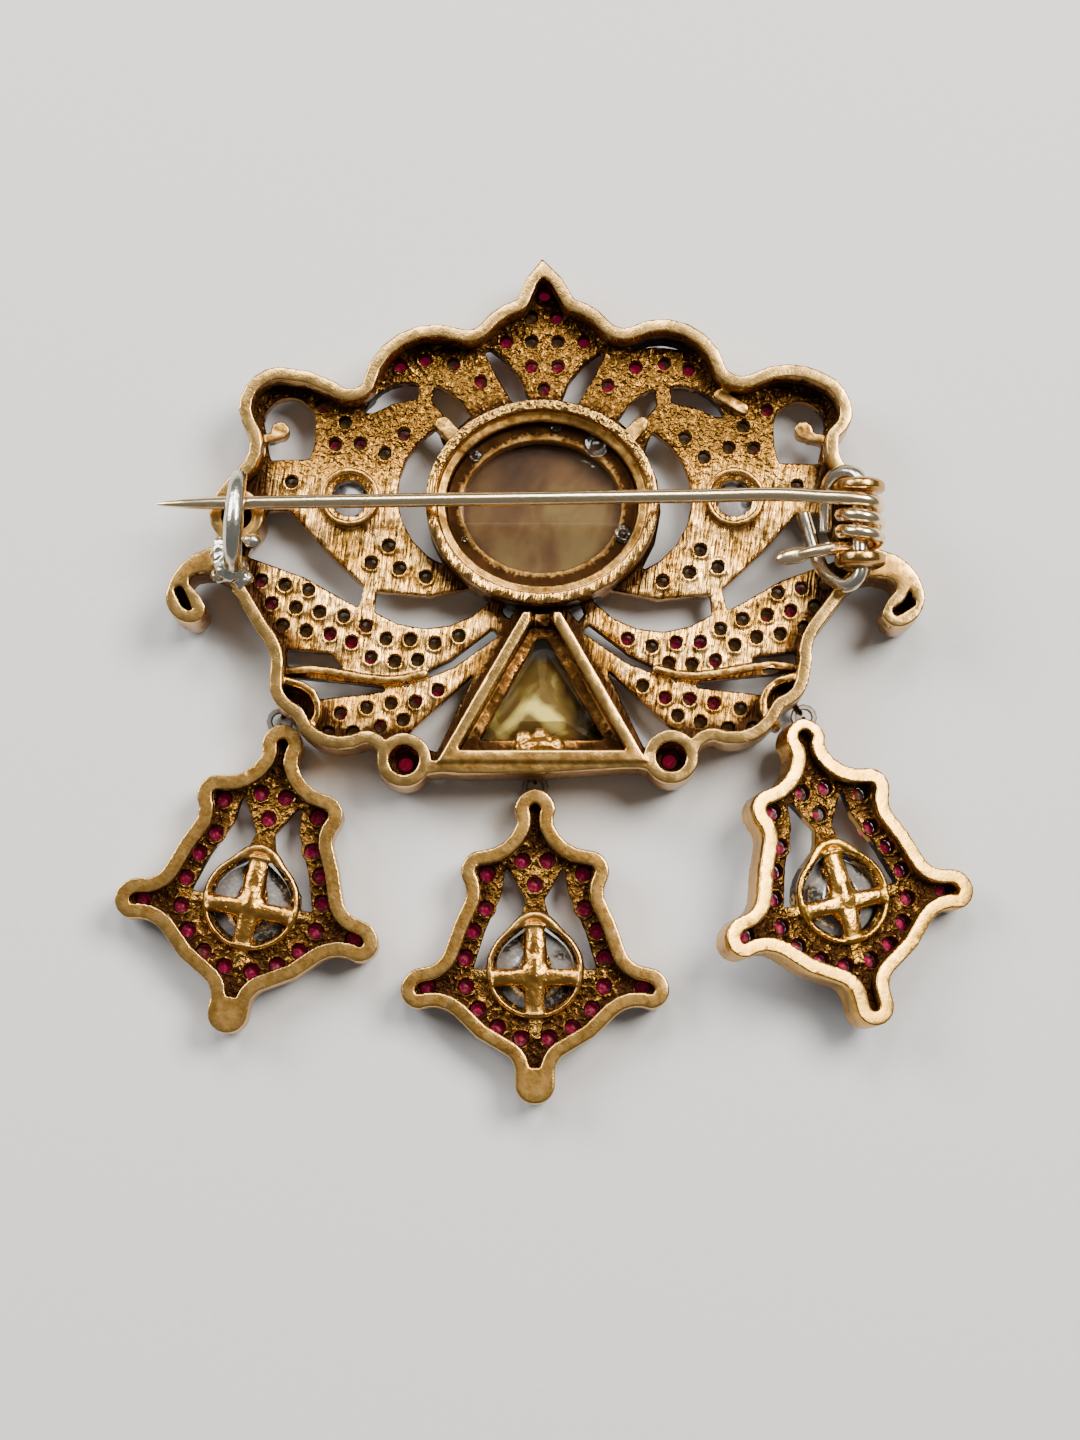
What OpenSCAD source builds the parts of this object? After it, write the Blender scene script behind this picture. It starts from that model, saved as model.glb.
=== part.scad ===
// Collar pin: a cast brooch with a crown, scrolls and petals, an oval and a
// triangular stone, fields of small stones, a coiled pin with a catch hook, and
// three drops. It lies on its front, so +Z is its back and its front stones
// touch z = 0. -Y is the side of the drops, -X is the side of the catch.

/* [Casting] */
// Width of the rim wall of the brooch
rim_w = 1.0; // [0.8:0.05:1.3]
// Height of the front edge of the rim above the surface it lies on
rim_front = 1.2; // [0.8:0.1:1.5]
// Height of the back edge of the rim
rim_back = 6.3; // [5.5:0.1:7]
// Height of the front face of the pierced plates
plate_front = 2.2; // [2:0.1:2.4]
// Height of the back face of the pierced plates
plate_back = 3.5; // [3.3:0.1:4]
// Height of the back edge of the oval and triangular bezels
bezel_back = 6.6; // [6.2:0.1:7]

/* [Stones] */
// Half length of the oval stone
cabochon_rx = 8.25; // [7.8:0.05:8.3]
// Half width of the oval stone
cabochon_ry = 7.25; // [6.8:0.05:7.3]
// Radius of a small stone at its girdle
pave_r = 0.72; // [0.6:0.02:0.74]
// Radius of the hole behind a small stone
azure_r = 0.52; // [0.4:0.02:0.6]

/* [Pin] */
// Radius of the pin wire
pin_r = 0.54; // [0.45:0.01:0.58]
// Mean radius of the coil
coil_r = 1.45; // [1.4:0.05:1.6]
// Height of the hinge axis
hinge_z = 8.5; // [8.4:0.05:8.8]
// Radius of the silver wire that is the hinge axle
axle_r = 0.58; // [0.5:0.02:0.6]
// Height of the stem where it lies in the catch hook
catch_z = 7.7; // [7.5:0.1:8]

/* [Drops] */
// Depth of a drop's rim
drop_h = 3.0; // [2.6:0.1:3.4]
// Width of a drop's rim wall
drop_w = 1.15; // [1:0.05:1.3]
// Turn of the left drop about the vertical
left_turn = -10.9; // [-14:0.1:0]
// Turn of the right drop about the vertical
right_turn = 13.8; // [0:0.1:16]
// Roll of the right drop about its own length
right_roll = 15; // [0:1:16]

/* [Hidden] */

gold = "#a8843f";
silver = "#b9b4a6";
ruby = "#8c1f3a";
olive = "#6b6038";
clear = "#c9ced0";

// The layout is drawn round the centre of the oval bezel. This moves it so that the
// middle of the whole object's footprint is the origin.
layout_shift = [-0.26, 13.6, 0];

// The left half of the brooch's outline, from the crown down. Each row is a corner and
// the bow of the arc from it to the next corner, outward if above zero: x, y, bow.
left_outline = [
    [0.1, 20.2, 0], [0, 20.2, 0.3], [-2.0, 16.9, 0.3], [-5.0, 14.8, -0.25], [-6.6, 14.5, 2.1],
    [-14.4, 10.0, -0.45], [-16.4, 10.0, 0.35], [-21.2, 11.35, 0.9], [-24.3, 7.9, 0.15],
    [-23.5, 5.8, -0.25], [-23.8, 3.6, 0.1], [-26.1, 0.9, 0], [-25.8, -2.8, -0.1],
    [-26.4, -3.4, 0.8], [-29.9, -7.2, 0.55], [-28.2, -9.5, 0.5], [-26.7, -8.2, 0.15],
    [-28.05, -6.4, -0.3], [-27.4, -5.5, -0.45], [-24.9, -6.3, 0], [-22.6, -10.2, -0.25],
    [-21.5, -12.6, 0], [-21.6, -14.8, 0.35], [-19.7, -17.0, 0], [-19.1, -18.2, 0.9],
    [-13.9, -19.1, -0.35], [-12.9, -20.4, 0], [-9.2, -21.6, -0.15], [-6.5, -21.55, 0],
    [0.1, -21.5, 0]
];
// The right half is a little larger above, and is drawn as its mirror image.
right_outline = [
    [0.1, 20.2, 0], [-0.1, 20.2, 0.3], [-2.6, 16.9, 0.3], [-5.4, 15.1, -0.25], [-7.0, 14.6, 2.15],
    [-14.8, 11.2, -0.4], [-16.9, 10.8, 0.4], [-21.2, 11.4, 0.1], [-23.6, 10.3, 0.33],
    [-24.9, 7.4, 0.2], [-23.8, 5.6, -0.3], [-24.3, 3.2, 0.1], [-26.1, 0.9, 0], [-25.8, -2.8, -0.1],
    [-27.0, -3.6, 0.75], [-30.4, -7.0, 0.6], [-28.7, -9.8, 0.5], [-27.0, -8.6, 0.15],
    [-28.1, -6.9, -0.3], [-27.4, -5.9, -0.45], [-24.6, -6.6, 0], [-22.0, -10.1, -0.25],
    [-21.4, -12.6, 0], [-21.1, -14.3, 0.35], [-19.2, -16.3, 0], [-18.5, -17.5, 0.9],
    [-13.5, -18.9, -0.35], [-12.3, -20.2, 0], [-8.7, -21.3, -0.1], [-6.5, -21.1, 0],
    [0.1, -21.5, 0]
];
// How far the plates of the right half are from the mirror image of the left half's.
upper_shift = [0.4, -0.33];
lower_shift = [0.2, -0.25];
bottom_shift = [-0.25, 0.35];

// The gaps pierced through the left half: rows of x, y, bow, as in the outline, at the
// height of the plates' back. First those of the upper plates.
upper_gaps = [
    // between the crown and the upper petal
    [[-4.7, 13.35, 0.1], [-2.4, 9.1, 0], [-1.1, 9.3, 0.55], [-4.3, 13.6, 0]],
    // between the upper petal and the crescent, on either side of the tab
    [[-8.9, 9.2, 0], [-7.0, 6.8, 0], [-5.75, 7.95, 0.4], [-8.7, 10.5, 0]],
    [[-13.7, 8.2, -0.25], [-10.1, 9.35, 0], [-10.05, 10.65, 0.85], [-14.4, 8.2, 0]],
    // inside the scroll
    [[-21.9, 4.3, 0], [-18.75, 4.4, 0.15], [-18.35, 7.0, 2.2], [-22.5, 7.5, 0]],
    // between the crescent and the oval bezel
    [[-8.5, 7.0, 3.65], [-7.5, -4.5, -1.5], [-7.9, 5.4, 0]]
];
lower_gaps = [
    // between the crescent and the lower petal, on either side of the tab
    [[-22.0, 0.1, 0], [-23.0, -2.2, 0], [-23.7, -3.6, -0.4], [-14.7, -7.8, 0],
     [-14.3, -6.1, -0.2], [-20.3, 0.1, 0]],
    [[-13.45, -8.1, 1.9], [-3.9, -7.0, 0], [-5.0, -6.1, -0.6], [-13.3, -6.5, 0]],
    // between the lower petal, the oval and the triangle
    [[-2.95, -7.3, 0], [-3.2, -8.0, 0], [-2.7, -8.7, 0], [-1.9, -7.7, 0]],
    // above the vein
    [[-20.4, -12.55, 0.15], [-15.8, -12.9, 0], [-16.9, -11.5, 0], [-20.4, -11.2, 0]]
];
bottom_gaps = [
    // below the vein
    [[-20.2, -14.0, 0.2], [-17.7, -15.2, 0], [-12.6, -14.6, 0], [-12.5, -14.25, 0.05],
     [-20.2, -13.45, 0]],
    // between the lower petal and the bottom petal
    [[-11.1, -14.25, 0.5], [-3.5, -10.1, 0], [-4.0, -9.5, -0.45], [-11.1, -13.85, 0]],
    // between the bottom petal and the triangle
    [[-11.0, -18.3, 0.1], [-8.4, -19.5, 0], [-5.3, -13.0, 0]]
];

// The slits that show on the right side only, between the plates and the rim.
right_gaps = [
    [[6.9, 13.35, -0.7], [13.4, 12.6, 0], [13.2, 13.2, 0.75], [7.2, 14.1, 0]],
    [[17.9, 10.6, -0.1], [20.6, 10.4, 0], [20.5, 10.8, 0.1], [18.2, 10.95, 0]]
];

// Centres of the small stones in the crown and in the left half: x, y.
crown_stones = [
    [0.2, 18.0], [-0.9, 16.15], [1.2, 16.1], [-2.9, 14.1], [-0.85, 14.1], [1.3, 14.1],
    [3.4, 14.1], [-0.85, 12.05], [1.3, 12.05], [0.15, 10.2]
];
upper_stones = [[-11.5, 12.1], [-9.5, 12.6], [-7.2, 12.3], [-4.95, 10.8]];
crescent_stones = [
    [-15.9, 7.4], [-16.7, 5.6], [-14.7, 5.65], [-11.15, 6.45], [-12.7, 4.85], [-20.2, 2.5],
    [-12.35, -2.75], [-13.75, -4.15], [-11.45, -4.6], [-9.3, -5.3], [-17.8, 8.75]
];
lower_stones = [
    [-22.55, -5.6], [-20.65, -5.95], [-18.75, -6.35], [-21.7, -7.45], [-19.75, -7.8],
    [-17.85, -8.15], [-15.9, -8.5], [-14.1, -9.3], [-20.8, -9.2], [-18.9, -9.7], [-17.0, -9.95],
    [-15.25, -10.6], [-13.7, -11.85], [-12.5, -10.35], [-11.8, -12.15], [-10.55, -10.4],
    [-9.95, -12.05], [-8.6, -10.7], [-6.65, -10.1]
];
bottom_stones = [
    [-16.1, -16.35], [-14.0, -15.9], [-12.05, -15.55], [-10.1, -15.45], [-8.3, -14.5],
    [-12.9, -17.4], [-11.1, -16.9], [-17.1, -17.95], [-15.1, -17.9]
];

// Round settings: the stones in the crescents and the small collets.
side_stone_at = [-15.5, 1.1];
side_ring_r = 2.4;
side_hole_r = 1.45;
side_stone_r = 1.95;
catch_collet_at = [-24.35, -0.8];
bottom_collets = [[-10.9, -20.45], [10.2, -20.2]];
collet_r = 2.15;
collet_hole_r = 1.2;

// Middle line of the thin vein and of the curl: x, y.
vein_line = [
    [-20.9, -13.2], [-19.9, -12.95], [-18.4, -12.85], [-16.6, -13.1], [-14.6, -13.5],
    [-12.6, -13.75], [-11.0, -13.65], [-9.4, -13.2]
];
curl_line = [
    [-20.8, -13.9], [-19.9, -14.15], [-19.0, -14.4], [-18.2, -15.0], [-17.8, -15.9],
    [-17.8, -16.8], [-18.2, -17.6], [-18.9, -18.0]
];

// The triangular bezel: half widths and heights of its outer edge, and its wall.
tri_top = [1.5, -8.6];
tri_base = [8.3, -20.6];
tri_wall = 0.95;

// Half of a drop's outline, from its top lobe, whose centre is the origin: x, y, bow.
drop_outline = [
    [-0.05, -23.3, 0], [0, -23.3, 0.4], [1.58, -21.9, 0], [1.58, -21.0, -0.33],
    [2.5, -19.3, 0.3], [6.4, -16.3, -0.4], [9.1, -15.85, 0.45], [10.6, -14.3, 0.45],
    [8.9, -12.55, -0.38], [7.1, -11.1, 0.1], [5.5, -7.1, -0.15], [5.75, -5.6, 0.75],
    [4.2, -3.3, -0.5], [1.5, -1.3, -0.1], [1.65, -0.1, 0.45], [0, 1.65, 0], [-0.05, 1.65, 0]
];
// The gap beside a drop's stone: x, y, bow.
drop_gap = [
    [2.4, -4.6, 0], [2.05, -4.8, 0], [0.75, -7.1, 0], [1.0, -8.1, 0.4], [3.75, -11.4, 0],
    [3.95, -12.6, 0], [4.9, -12.6, 0.2], [2.6, -6.6, 0]
];
// Centres of the small stones at one side of a drop, and of the three near its top: x, y.
drop_side_stones = [
    [3.8, -5.1], [3.9, -7.85], [4.9, -9.65], [5.5, -11.75], [5.45, -14.0], [4.5, -15.8],
    [2.95, -17.25], [1.1, -18.1], [8.5, -14.05]
];
drop_top_stones = [[-1.0, -4.05], [1.0, -4.05], [0, -5.95]];
drop_stones = concat(drop_side_stones, flipped(drop_side_stones), drop_top_stones);
// Centre, half width and top of the pear bezel.
pear_y = -12.75;
pear_r = 3.85;
pear_top = -7.8;
pear_wall = 0.62;
drop_dome = 1.2;
drop_plate_front = 0.75;
drop_table = drop_plate_front - 0.6;
drop_cut = drop_plate_front + 0.45;
drop_hole_r = 0.62;

// Where the top lobe of each drop is, and how it is turned: x, y, z, turn, roll.
left_place = [-20.65, -18.95, drop_dome, left_turn, 0];
centre_place = [-0.55, -24.1, drop_dome, 0, 0];
right_place = [20.15, -18.85, 10.65 * sin(right_roll), right_turn, right_roll];

// Links: x, y and z of the ring's centre, and the turns at which it passes the ear of
// the brooch and the ear of the drop.
link_r = 0.85;
link_wire = 0.24;
ear_wire = 0.2;
left_link = [-21.15, -16.65, 0.75, 52, -78];
centre_link = [-0.55, -22.0, 0.75, 90, -90];
right_link = [21.05, -16.45, 1.6, 128, -104];

// Hinge, in the layout: the axle runs along Y.
hinge_x = 25.1;
knuckle_r = 2.05;
knuckle_bore = 0.75;
upper_knuckle = [0.4, 1.4];
lower_knuckle = [-5.35, -4.25];
stem_y = [-0.12, 0.1];
stem_x = [-24.3, 19];
coil_pitch = 1.32;
coil_start_y = -0.27;
coil_turns = 2.5;

// Points of the arc from a to b that bows out to the right by bow, without b.
function arc(a, b, bow, step = 18) =
    abs(bow) < 0.01 ? [a] :
    let (
        c = norm(b - a),
        u = (b - a) / c,
        n = [u.y, -u.x],
        r = (c * c / 4 + bow * bow) / (2 * bow),
        half = 2 * atan(2 * bow / c),
        count = max(2, ceil(2 * abs(half) / step))
    )
    [for (i = [0 : count - 1]) let (t = half * (2 * i / count - 1))
        (a + b) / 2 + u * r * sin(t) + n * (r * cos(t) - r + bow)];

// The closed outline that a table of corners and bows describes.
function closed(rows) = [
    for (i = [0 : len(rows) - 1])
        let (p = rows[i], q = rows[(i + 1) % len(rows)])
        each arc([p.x, p.y], [q.x, q.y], p[2])
];

// The mirror image of a table of points, moved by shift.
function flipped(points, shift = [0, 0]) =
    [for (p = points) [shift.x - p.x, p.y + shift.y, each len(p) > 2 ? [-p[2]] : []]];
// Points at the height z, shrunk by k towards c
function ring(points, z, k = 1, c = [0, 0]) =
    [for (p = points) [c.x + (p.x - c.x) * k, c.y + (p.y - c.y) * k, z]];
function oval_points(rx, ry, n = 40) =
    [for (i = [0 : n - 1]) let (a = 360 * i / n) [rx * cos(a), ry * sin(a)]];
function ngon_points(n, r, c = [0, 0]) = [for (p = oval_points(r, r, n)) c + p];

// A closed solid through rings of points, listed upward and counter-clockwise from above.
module loft(rings) {
    n = len(rings[0]);
    top = len(rings) - 1;
    polyhedron(
        points = [for (r = rings) each r],
        faces = concat(
            [[for (i = [0 : n - 1]) i]],
            [for (j = [0 : top - 1], i = [0 : n - 1]) let (k = (i + 1) % n)
                [j * n + i, (j + 1) * n + i, (j + 1) * n + k, j * n + k]],
            [[for (i = [n - 1 : -1 : 0]) top * n + i]]
        )
    );
}

// A tube along a list of points, with one radius for each point.
function unit(v) = v / norm(v);
function way(p, i) = unit(p[min(i + 1, len(p) - 1)] - p[max(i - 1, 0)]);
function side_of(d) = unit(abs(d.y) < 0.9 ? cross(d, [0, 1, 0]) : cross(d, [1, 0, 0]));
module tube(points, radii, sides = 8) {
    n = len(points);
    // each ring's side vector is the last one's, kept square to the new direction
    sides_of = [for (i = 0, d = way(points, 0), s = side_of(d); i < n;
        i = i + 1, d = way(points, min(i, n - 1)), s = unit(s - d * (s * d))) [d, s]];
    rings = [for (i = [0 : n - 1]) let (d = sides_of[i][0], s = sides_of[i][1], t = cross(d, s))
        [for (j = [0 : sides - 1]) let (a = 360 * (j + 0.5) / sides)
            points[i] + radii[i] * (s * cos(a) + t * sin(a))]];
    polyhedron(
        points = [for (r = rings) each r],
        faces = concat(
            [[for (j = [0 : sides - 1]) j]],
            [for (i = [0 : n - 2], j = [0 : sides - 1]) let (k = (j + 1) % sides)
                [i * sides + j, (i + 1) * sides + j, (i + 1) * sides + k, i * sides + k]],
            [[for (j = [sides - 1 : -1 : 0]) (n - 1) * sides + j]]
        )
    );
}

module prism(z0, z1) translate([0, 0, z0]) linear_extrude(z1 - z0) children();
module both() {
    children();
    mirror([1, 0, 0]) children();
}
module layout() translate(layout_shift) children();
module disc_at(c, r, n = 32) translate(c) rotate(180 / n) circle(r, $fn = n);
// A band of width w along a line
module stroke(line, w) {
    last = len(line) - 1;
    offset(r = w / 2, $fn = 16)
        polygon(concat(line, [for (i = [last : -1 : 0]) line[i] + [0.01, 0.01]]));
}

// The brooch seen flat
module silhouette() {
    polygon(closed(left_outline));
    mirror([1, 0, 0]) polygon(closed(right_outline));
    both() disc_at(catch_collet_at, collet_r);
    for (c = bottom_collets) disc_at(c, collet_r);
}
module holes(stones, r, n = 8) for (p = stones) disc_at(p, r, n);
module gaps(table, shift) for (g = table) {
    polygon(closed(g));
    polygon(closed(flipped(g, shift)));
}
module plates() {
    offset(delta = -0.001) difference() {
        offset(delta = -0.45) silhouette();
        gaps(upper_gaps, upper_shift);
        gaps(lower_gaps, lower_shift);
        gaps(bottom_gaps, bottom_shift);
        for (g = right_gaps) polygon(closed(g));
        holes(all_stones, azure_r);
        for (c = bottom_collets) disc_at(c, 1.4);
        both() disc_at(side_stone_at, side_hole_r + 0.3);
        polygon(oval_points(8.9, 7.9));
        triangle(0.4);
    }
}
module triangle(inset) {
    offset(delta = -inset) polygon([
        [-tri_top.x, tri_top.y], [-tri_base.x, tri_base.y], [tri_base.x, tri_base.y],
        [tri_top.x, tri_top.y]
    ]);
}

module rim_flat() {
    difference() {
        silhouette();
        difference() {
            offset(r = -rim_w, $fn = 24) silhouette();
            // the rim is wider at the crown's tip and round the collets
            translate([0, 20.4]) circle(1.6, $fn = 4);
            for (c = bottom_collets) disc_at(c, collet_r);
            disc_at(catch_collet_at, collet_r);
        }
        for (c = bottom_collets) disc_at(c, collet_hole_r);
        disc_at(catch_collet_at, collet_hole_r);
    }
}
module rim() {
    // the front half of the wall is cut away round the small stones
    prism(rim_front, rim_cut) offset(delta = -0.02) difference() {
        rim_flat();
        holes(all_stones, pave_r + stone_gap);
    }
    prism(rim_cut - 0.05, rim_back) offset(delta = -0.001) difference() {
        rim_flat();
        // pits in the ends of the side scrolls
        stroke([[-28.85, -6.9], [-28.35, -7.9]], 0.75);
        stroke([[29.3, -7.85], [28.2, -8.55]], 0.75);
    }
}
module pierced_plates() {
    prism(plate_front, plate_back) plates();
    // the floors of the collets hold their stones
    for (c = bottom_collets) translate([c.x, c.y, plate_front]) difference() {
        cylinder(h = 1.2, r = 1.6, $fn = 40);
        translate([0, 0, -1]) cylinder(h = 4, r = 0.6, $fn = 40);
    }
}
module oval_bezel() {
    prism(plate_front - 0.6, bezel_back) oval_ring(9.3, 8.3, 8.45, 7.45);
    prism(cabochon_girdle + 0.15, bezel_back - 1.0) oval_ring(8.6, 7.6, 7.7, 6.7);
    prism(cabochon_girdle + 0.15, bezel_back - 2.2) oval_ring(7.85, 6.85, 6.4, 5.4);
}
module oval_ring(ax, ay, bx, by) {
    translate([0, 0.3]) difference() {
        polygon(oval_points(ax, ay, 56));
        polygon(oval_points(bx, by, 56));
    }
}
module triangle_bezel() {
    prism(plate_front - 0.6, rim_back + 0.15) offset(delta = -0.001) difference() {
        triangle(0);
        triangle(tri_wall);
    }
    prism(trillion_girdle + 0.15, 4.6) offset(delta = -0.001) difference() {
        triangle(tri_wall - 0.15);
        triangle(tri_wall + 1.0);
    }
}
module side_rings() {
    both() translate([side_stone_at.x, side_stone_at.y, 0]) difference() {
        translate([0, 0, plate_front + 0.05]) cylinder(h = 2.1, r = side_ring_r, $fn = 48);
        cylinder(h = 9, r = side_hole_r, $fn = 48);
        cylinder(h = 3.1, r = side_stone_r + 0.15, $fn = 48);
        translate([0, 0, 3.75]) cylinder(h = 2, r = side_ring_r - 0.45, $fn = 48);
    }
}
module raised_lines() {
    prism(plate_back - 0.3, plate_back + 0.45) {
        stroke(vein_line, 0.6);
        stroke(flipped(vein_line, bottom_shift), 0.6);
    }
    prism(plate_back - 0.5, rim_back - 0.6) {
        stroke(curl_line, 0.6);
        stroke(flipped(curl_line, bottom_shift), 0.6);
    }
    // curled knobs in the scrolls
    prism(plate_front + 0.3, plate_back + 0.5) offset(delta = 0.001) both() {
        stroke([[-21.1, 6.6], [-21.6, 6.1], [-22.9, 5.9]], 0.75);
        disc_at([-21.15, 6.65], 0.75, 16);
    }
    // tabs from the crescents' tips to the oval, and the extra bar at the right
    prism(plate_front + 0.2, plate_back + 0.9) offset(delta = 0.001) {
        both() stroke([[-8.0, 7.1], [-6.9, 5.9]], 1.25);
        stroke([[14.3, 9.5], [16.3, 8.3]], 0.9);
    }
}

// The catch hook: a wire soldered to the rim that arches over the stem
module catch_hook() {
    foot = [-24.5, -5.0];
    tip = [-23.95, 2.5];
    base_z = rim_back + 0.2;
    mid = (foot + tip) / 2;
    steps = 12;
    rise = 2.9;
    wire_r = 0.7;
    // the arch stops short of the rim, so that the pin can slip in
    points = [for (i = [0 : steps]) let (a = 180 - 150 * i / steps, q = mid + (tip - mid) * cos(a))
        [q.x, q.y, base_z + rise * sin(a)]];
    tube(concat([[foot.x, foot.y, rim_back - 1.2]], points), [for (i = [0 : steps + 1]) wire_r]);
    // solder round the foot
    translate([foot.x - 0.1, foot.y + 0.1, rim_back - 0.6])
        cylinder(h = 1.2, r1 = 1.25, r2 = 0.75, $fn = 24);
}
module knuckle(y) {
    translate([hinge_x, y[1], hinge_z]) rotate([90, 0, 0]) difference() {
        union() {
            cylinder(h = y[1] - y[0], r = knuckle_r, $fn = 48);
            translate([-0.9, -knuckle_r - 0.8, 0]) cube([1.8, 1.6, y[1] - y[0]]);
        }
        translate([0, 0, -1]) cylinder(h = 4, r = knuckle_bore, $fn = 48);
    }
}
module ear(link, turn, r = 0.5, reach = 0, lift = 0) {
    translate([link.x, link.y, link.z + lift]) rotate(turn)
        translate([link_r + reach, 0, 0]) rotate([90, 0, 0])
            rotate_extrude($fn = 32) translate([r, 0]) circle(ear_wire, $fn = 20);
}

all_stones = concat(
    crown_stones, upper_stones, flipped(upper_stones, upper_shift),
    crescent_stones, flipped(crescent_stones, upper_shift),
    lower_stones, flipped(lower_stones, lower_shift),
    bottom_stones, flipped(bottom_stones, bottom_shift)
);
stone_gap = 0.18;
pave_table = plate_front - 0.7;
rim_cut = plate_front + 0.35;
cabochon_girdle = plate_front + 0.35;
trillion_girdle = plate_front + 0.3;

module brooch_frame() color(gold) layout() {
    rim();
    pierced_plates();
    oval_bezel();
    triangle_bezel();
    side_rings();
    raised_lines();
    catch_hook();
    knuckle(upper_knuckle);
    knuckle(lower_knuckle);
    ear(left_link, left_link[3]);
    ear(centre_link, centre_link[3]);
    ear(right_link, right_link[3]);
}

// Stones
module dome(outline, girdle, top, centre = [0, 0]) {
    // the front is a dome down to z = top, and the back is flat at the girdle
    deep = girdle - top;
    loft([
        for (a = [86, 62, 40, 20]) ring(outline, girdle - deep * sin(a), cos(a), centre),
        ring(outline, girdle, 1, centre)
    ]);
}
module centre_cabochon() color(olive) layout() {
    translate([0, 0.3, 0]) dome(oval_points(cabochon_rx, cabochon_ry), cabochon_girdle, 0);
}
module triangle_stone() color("#8d8a45") layout() {
    k = tri_wall + 0.22;
    base = tri_base.y + k;
    half = tri_base.x - 2.2 * k;
    top = tri_top.y - 1.4 * k;
    mid = [0, base + (top - base) * 0.36];
    outline = [
        [-half, base], [half, base], [half + 0.35, base + 0.7], [0.55, top], [-0.55, top],
        [-half - 0.35, base + 0.7]
    ];
    loft([
        ring(outline, 0, 0.55, mid),
        ring(outline, trillion_girdle - 0.6, 1, mid),
        ring(outline, trillion_girdle, 1, mid)
    ]);
    loft([
        ring(outline, trillion_girdle - 0.05, 0.8, mid),
        ring(outline, 4.3, 0.3, mid)
    ]);
}
module side_stone() {
    points = ngon_points(12, side_stone_r, side_stone_at);
    color(clear) layout() loft([
        ring(points, 0, 0.55, side_stone_at),
        ring(points, 1.5, 1, side_stone_at),
        ring(points, 1.9, 1, side_stone_at),
        ring(points, 3.6, 0.12, side_stone_at)
    ]);
}
module side_stone_left() side_stone();
module side_stone_right() mirror([1, 0, 0]) translate([-2 * layout_shift.x, 0, 0]) side_stone();

// A small cut stone: a table at the front, a girdle and a point at the back
module cut_stone(p, table_z, r = pave_r) {
    outer = ngon_points(8, r);
    translate([p.x, p.y, table_z]) polyhedron(
        points = concat(ring(outer, 0, 0.6), ring(outer, 0.35), [[0, 0, 0.95]]),
        faces = concat(
            [[0, 1, 2, 3, 4, 5, 6, 7]],
            [for (i = [0 : 7]) let (k = (i + 1) % 8) [i, 8 + i, 8 + k, k]],
            [for (i = [0 : 7]) [8 + i, 16, 8 + (i + 1) % 8]]
        )
    );
}
module field(stones) color(ruby) layout() for (p = stones) cut_stone(p, pave_table);
module pave_crown() field(crown_stones);
module pave_upper_left() field(upper_stones);
module pave_upper_right() field(flipped(upper_stones, upper_shift));
module pave_crescent_left() field(crescent_stones);
module pave_crescent_right() field(flipped(crescent_stones, upper_shift));
module pave_lower_left() field(lower_stones);
module pave_lower_right() field(flipped(lower_stones, lower_shift));
module pave_bottom_left() field(bottom_stones);
module pave_bottom_right() field(flipped(bottom_stones, bottom_shift));
module collet_stones() color(ruby) layout() {
    for (c = bottom_collets) cut_stone(c, pave_table, 0.85);
}

// Axle wire: up the left leg, round the bottom, through the coil, over the top and down
loop_line = [
    [20.95, -0.5, 5.1], [21.4, -2.2, 5.15], [21.9, -3.9, 5.3], [22.4, -5.2, 5.9],
    [23.1, -6.1, 6.7], [24.0, -6.75, hinge_z - 0.8], [24.75, -6.45, hinge_z - 0.2],
    [hinge_x, -5.7, hinge_z], [hinge_x, -4.6, hinge_z], [hinge_x, 1.3, hinge_z],
    [24.95, 1.9, hinge_z - 0.1], [24.45, 2.25, hinge_z - 0.45], [23.7, 2.35, 7.45],
    [23.0, 1.9, 6.6], [22.8, 0.9, 5.6], [22.75, -0.5, 5.15], [22.7, -1.9, 5.05]
];
module hinge_loop() color(silver) layout() tube(loop_line, [for (p = loop_line) axle_r]);

// The pin: a straight stem with a point, then the coil round the axle and its tail
module pin_wire() color(silver) layout() {
    a = [stem_x[0], stem_y[0], catch_z];
    b = [stem_x[1], stem_y[1], stem_end_z];
    d = b - a;
    taper_from = 1.36;
    taper_r = 0.46;
    slope = atan2(d.z, norm([d.x, d.y]));
    turn = atan2(d.y, d.x);
    translate(a) rotate([0, 0, turn]) rotate([0, 90 - slope, 0]) {
        translate([0, 0, taper_from]) cylinder(h = norm(d) - taper_from, r = pin_r, $fn = 48);
        // the point tapers from beside the hook, slowly at first
        rotate([180, 0, 0]) {
            translate([0, 0, -taper_from - 0.3])
                cylinder(h = 2.8, r1 = pin_r - 0.01, r2 = taper_r, $fn = 48);
            translate([0, 0, 2.5 - taper_from]) cylinder(h = 5.2, r1 = taper_r, r2 = 0.06, $fn = 48);
        }
    }
    tube(coil_line, [for (p = coil_line) pin_r - 0.03]);
}
stem_end_z = hinge_z + coil_r - 0.12;
coil_steps = 45;
coil_top = hinge_z + coil_r;
coil_foot = hinge_z - coil_r;
coil_line = concat(
    [[stem_x[1] - 1, stem_y[1], stem_end_z - 0.03],
     [stem_x[1] + 3, stem_y[1] - 0.2, coil_top - 0.02]],
    [for (i = [0 : coil_steps])
        let (turns = coil_turns * i / coil_steps, a = 90 - 360 * turns)
        [hinge_x + coil_r * cos(a), coil_start_y - coil_pitch * turns, hinge_z + coil_r * sin(a)]],
    // the tail runs back under the coil and out over the loop
    [[24.0, -3.62, coil_foot + 0.02], [22.9, -3.7, coil_foot + 0.1], [21.8, -3.9, coil_foot + 0.2],
     [20.6, -4.15, coil_foot + 0.2], [19.4, -4.4, coil_foot + 0.1]]
);

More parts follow.
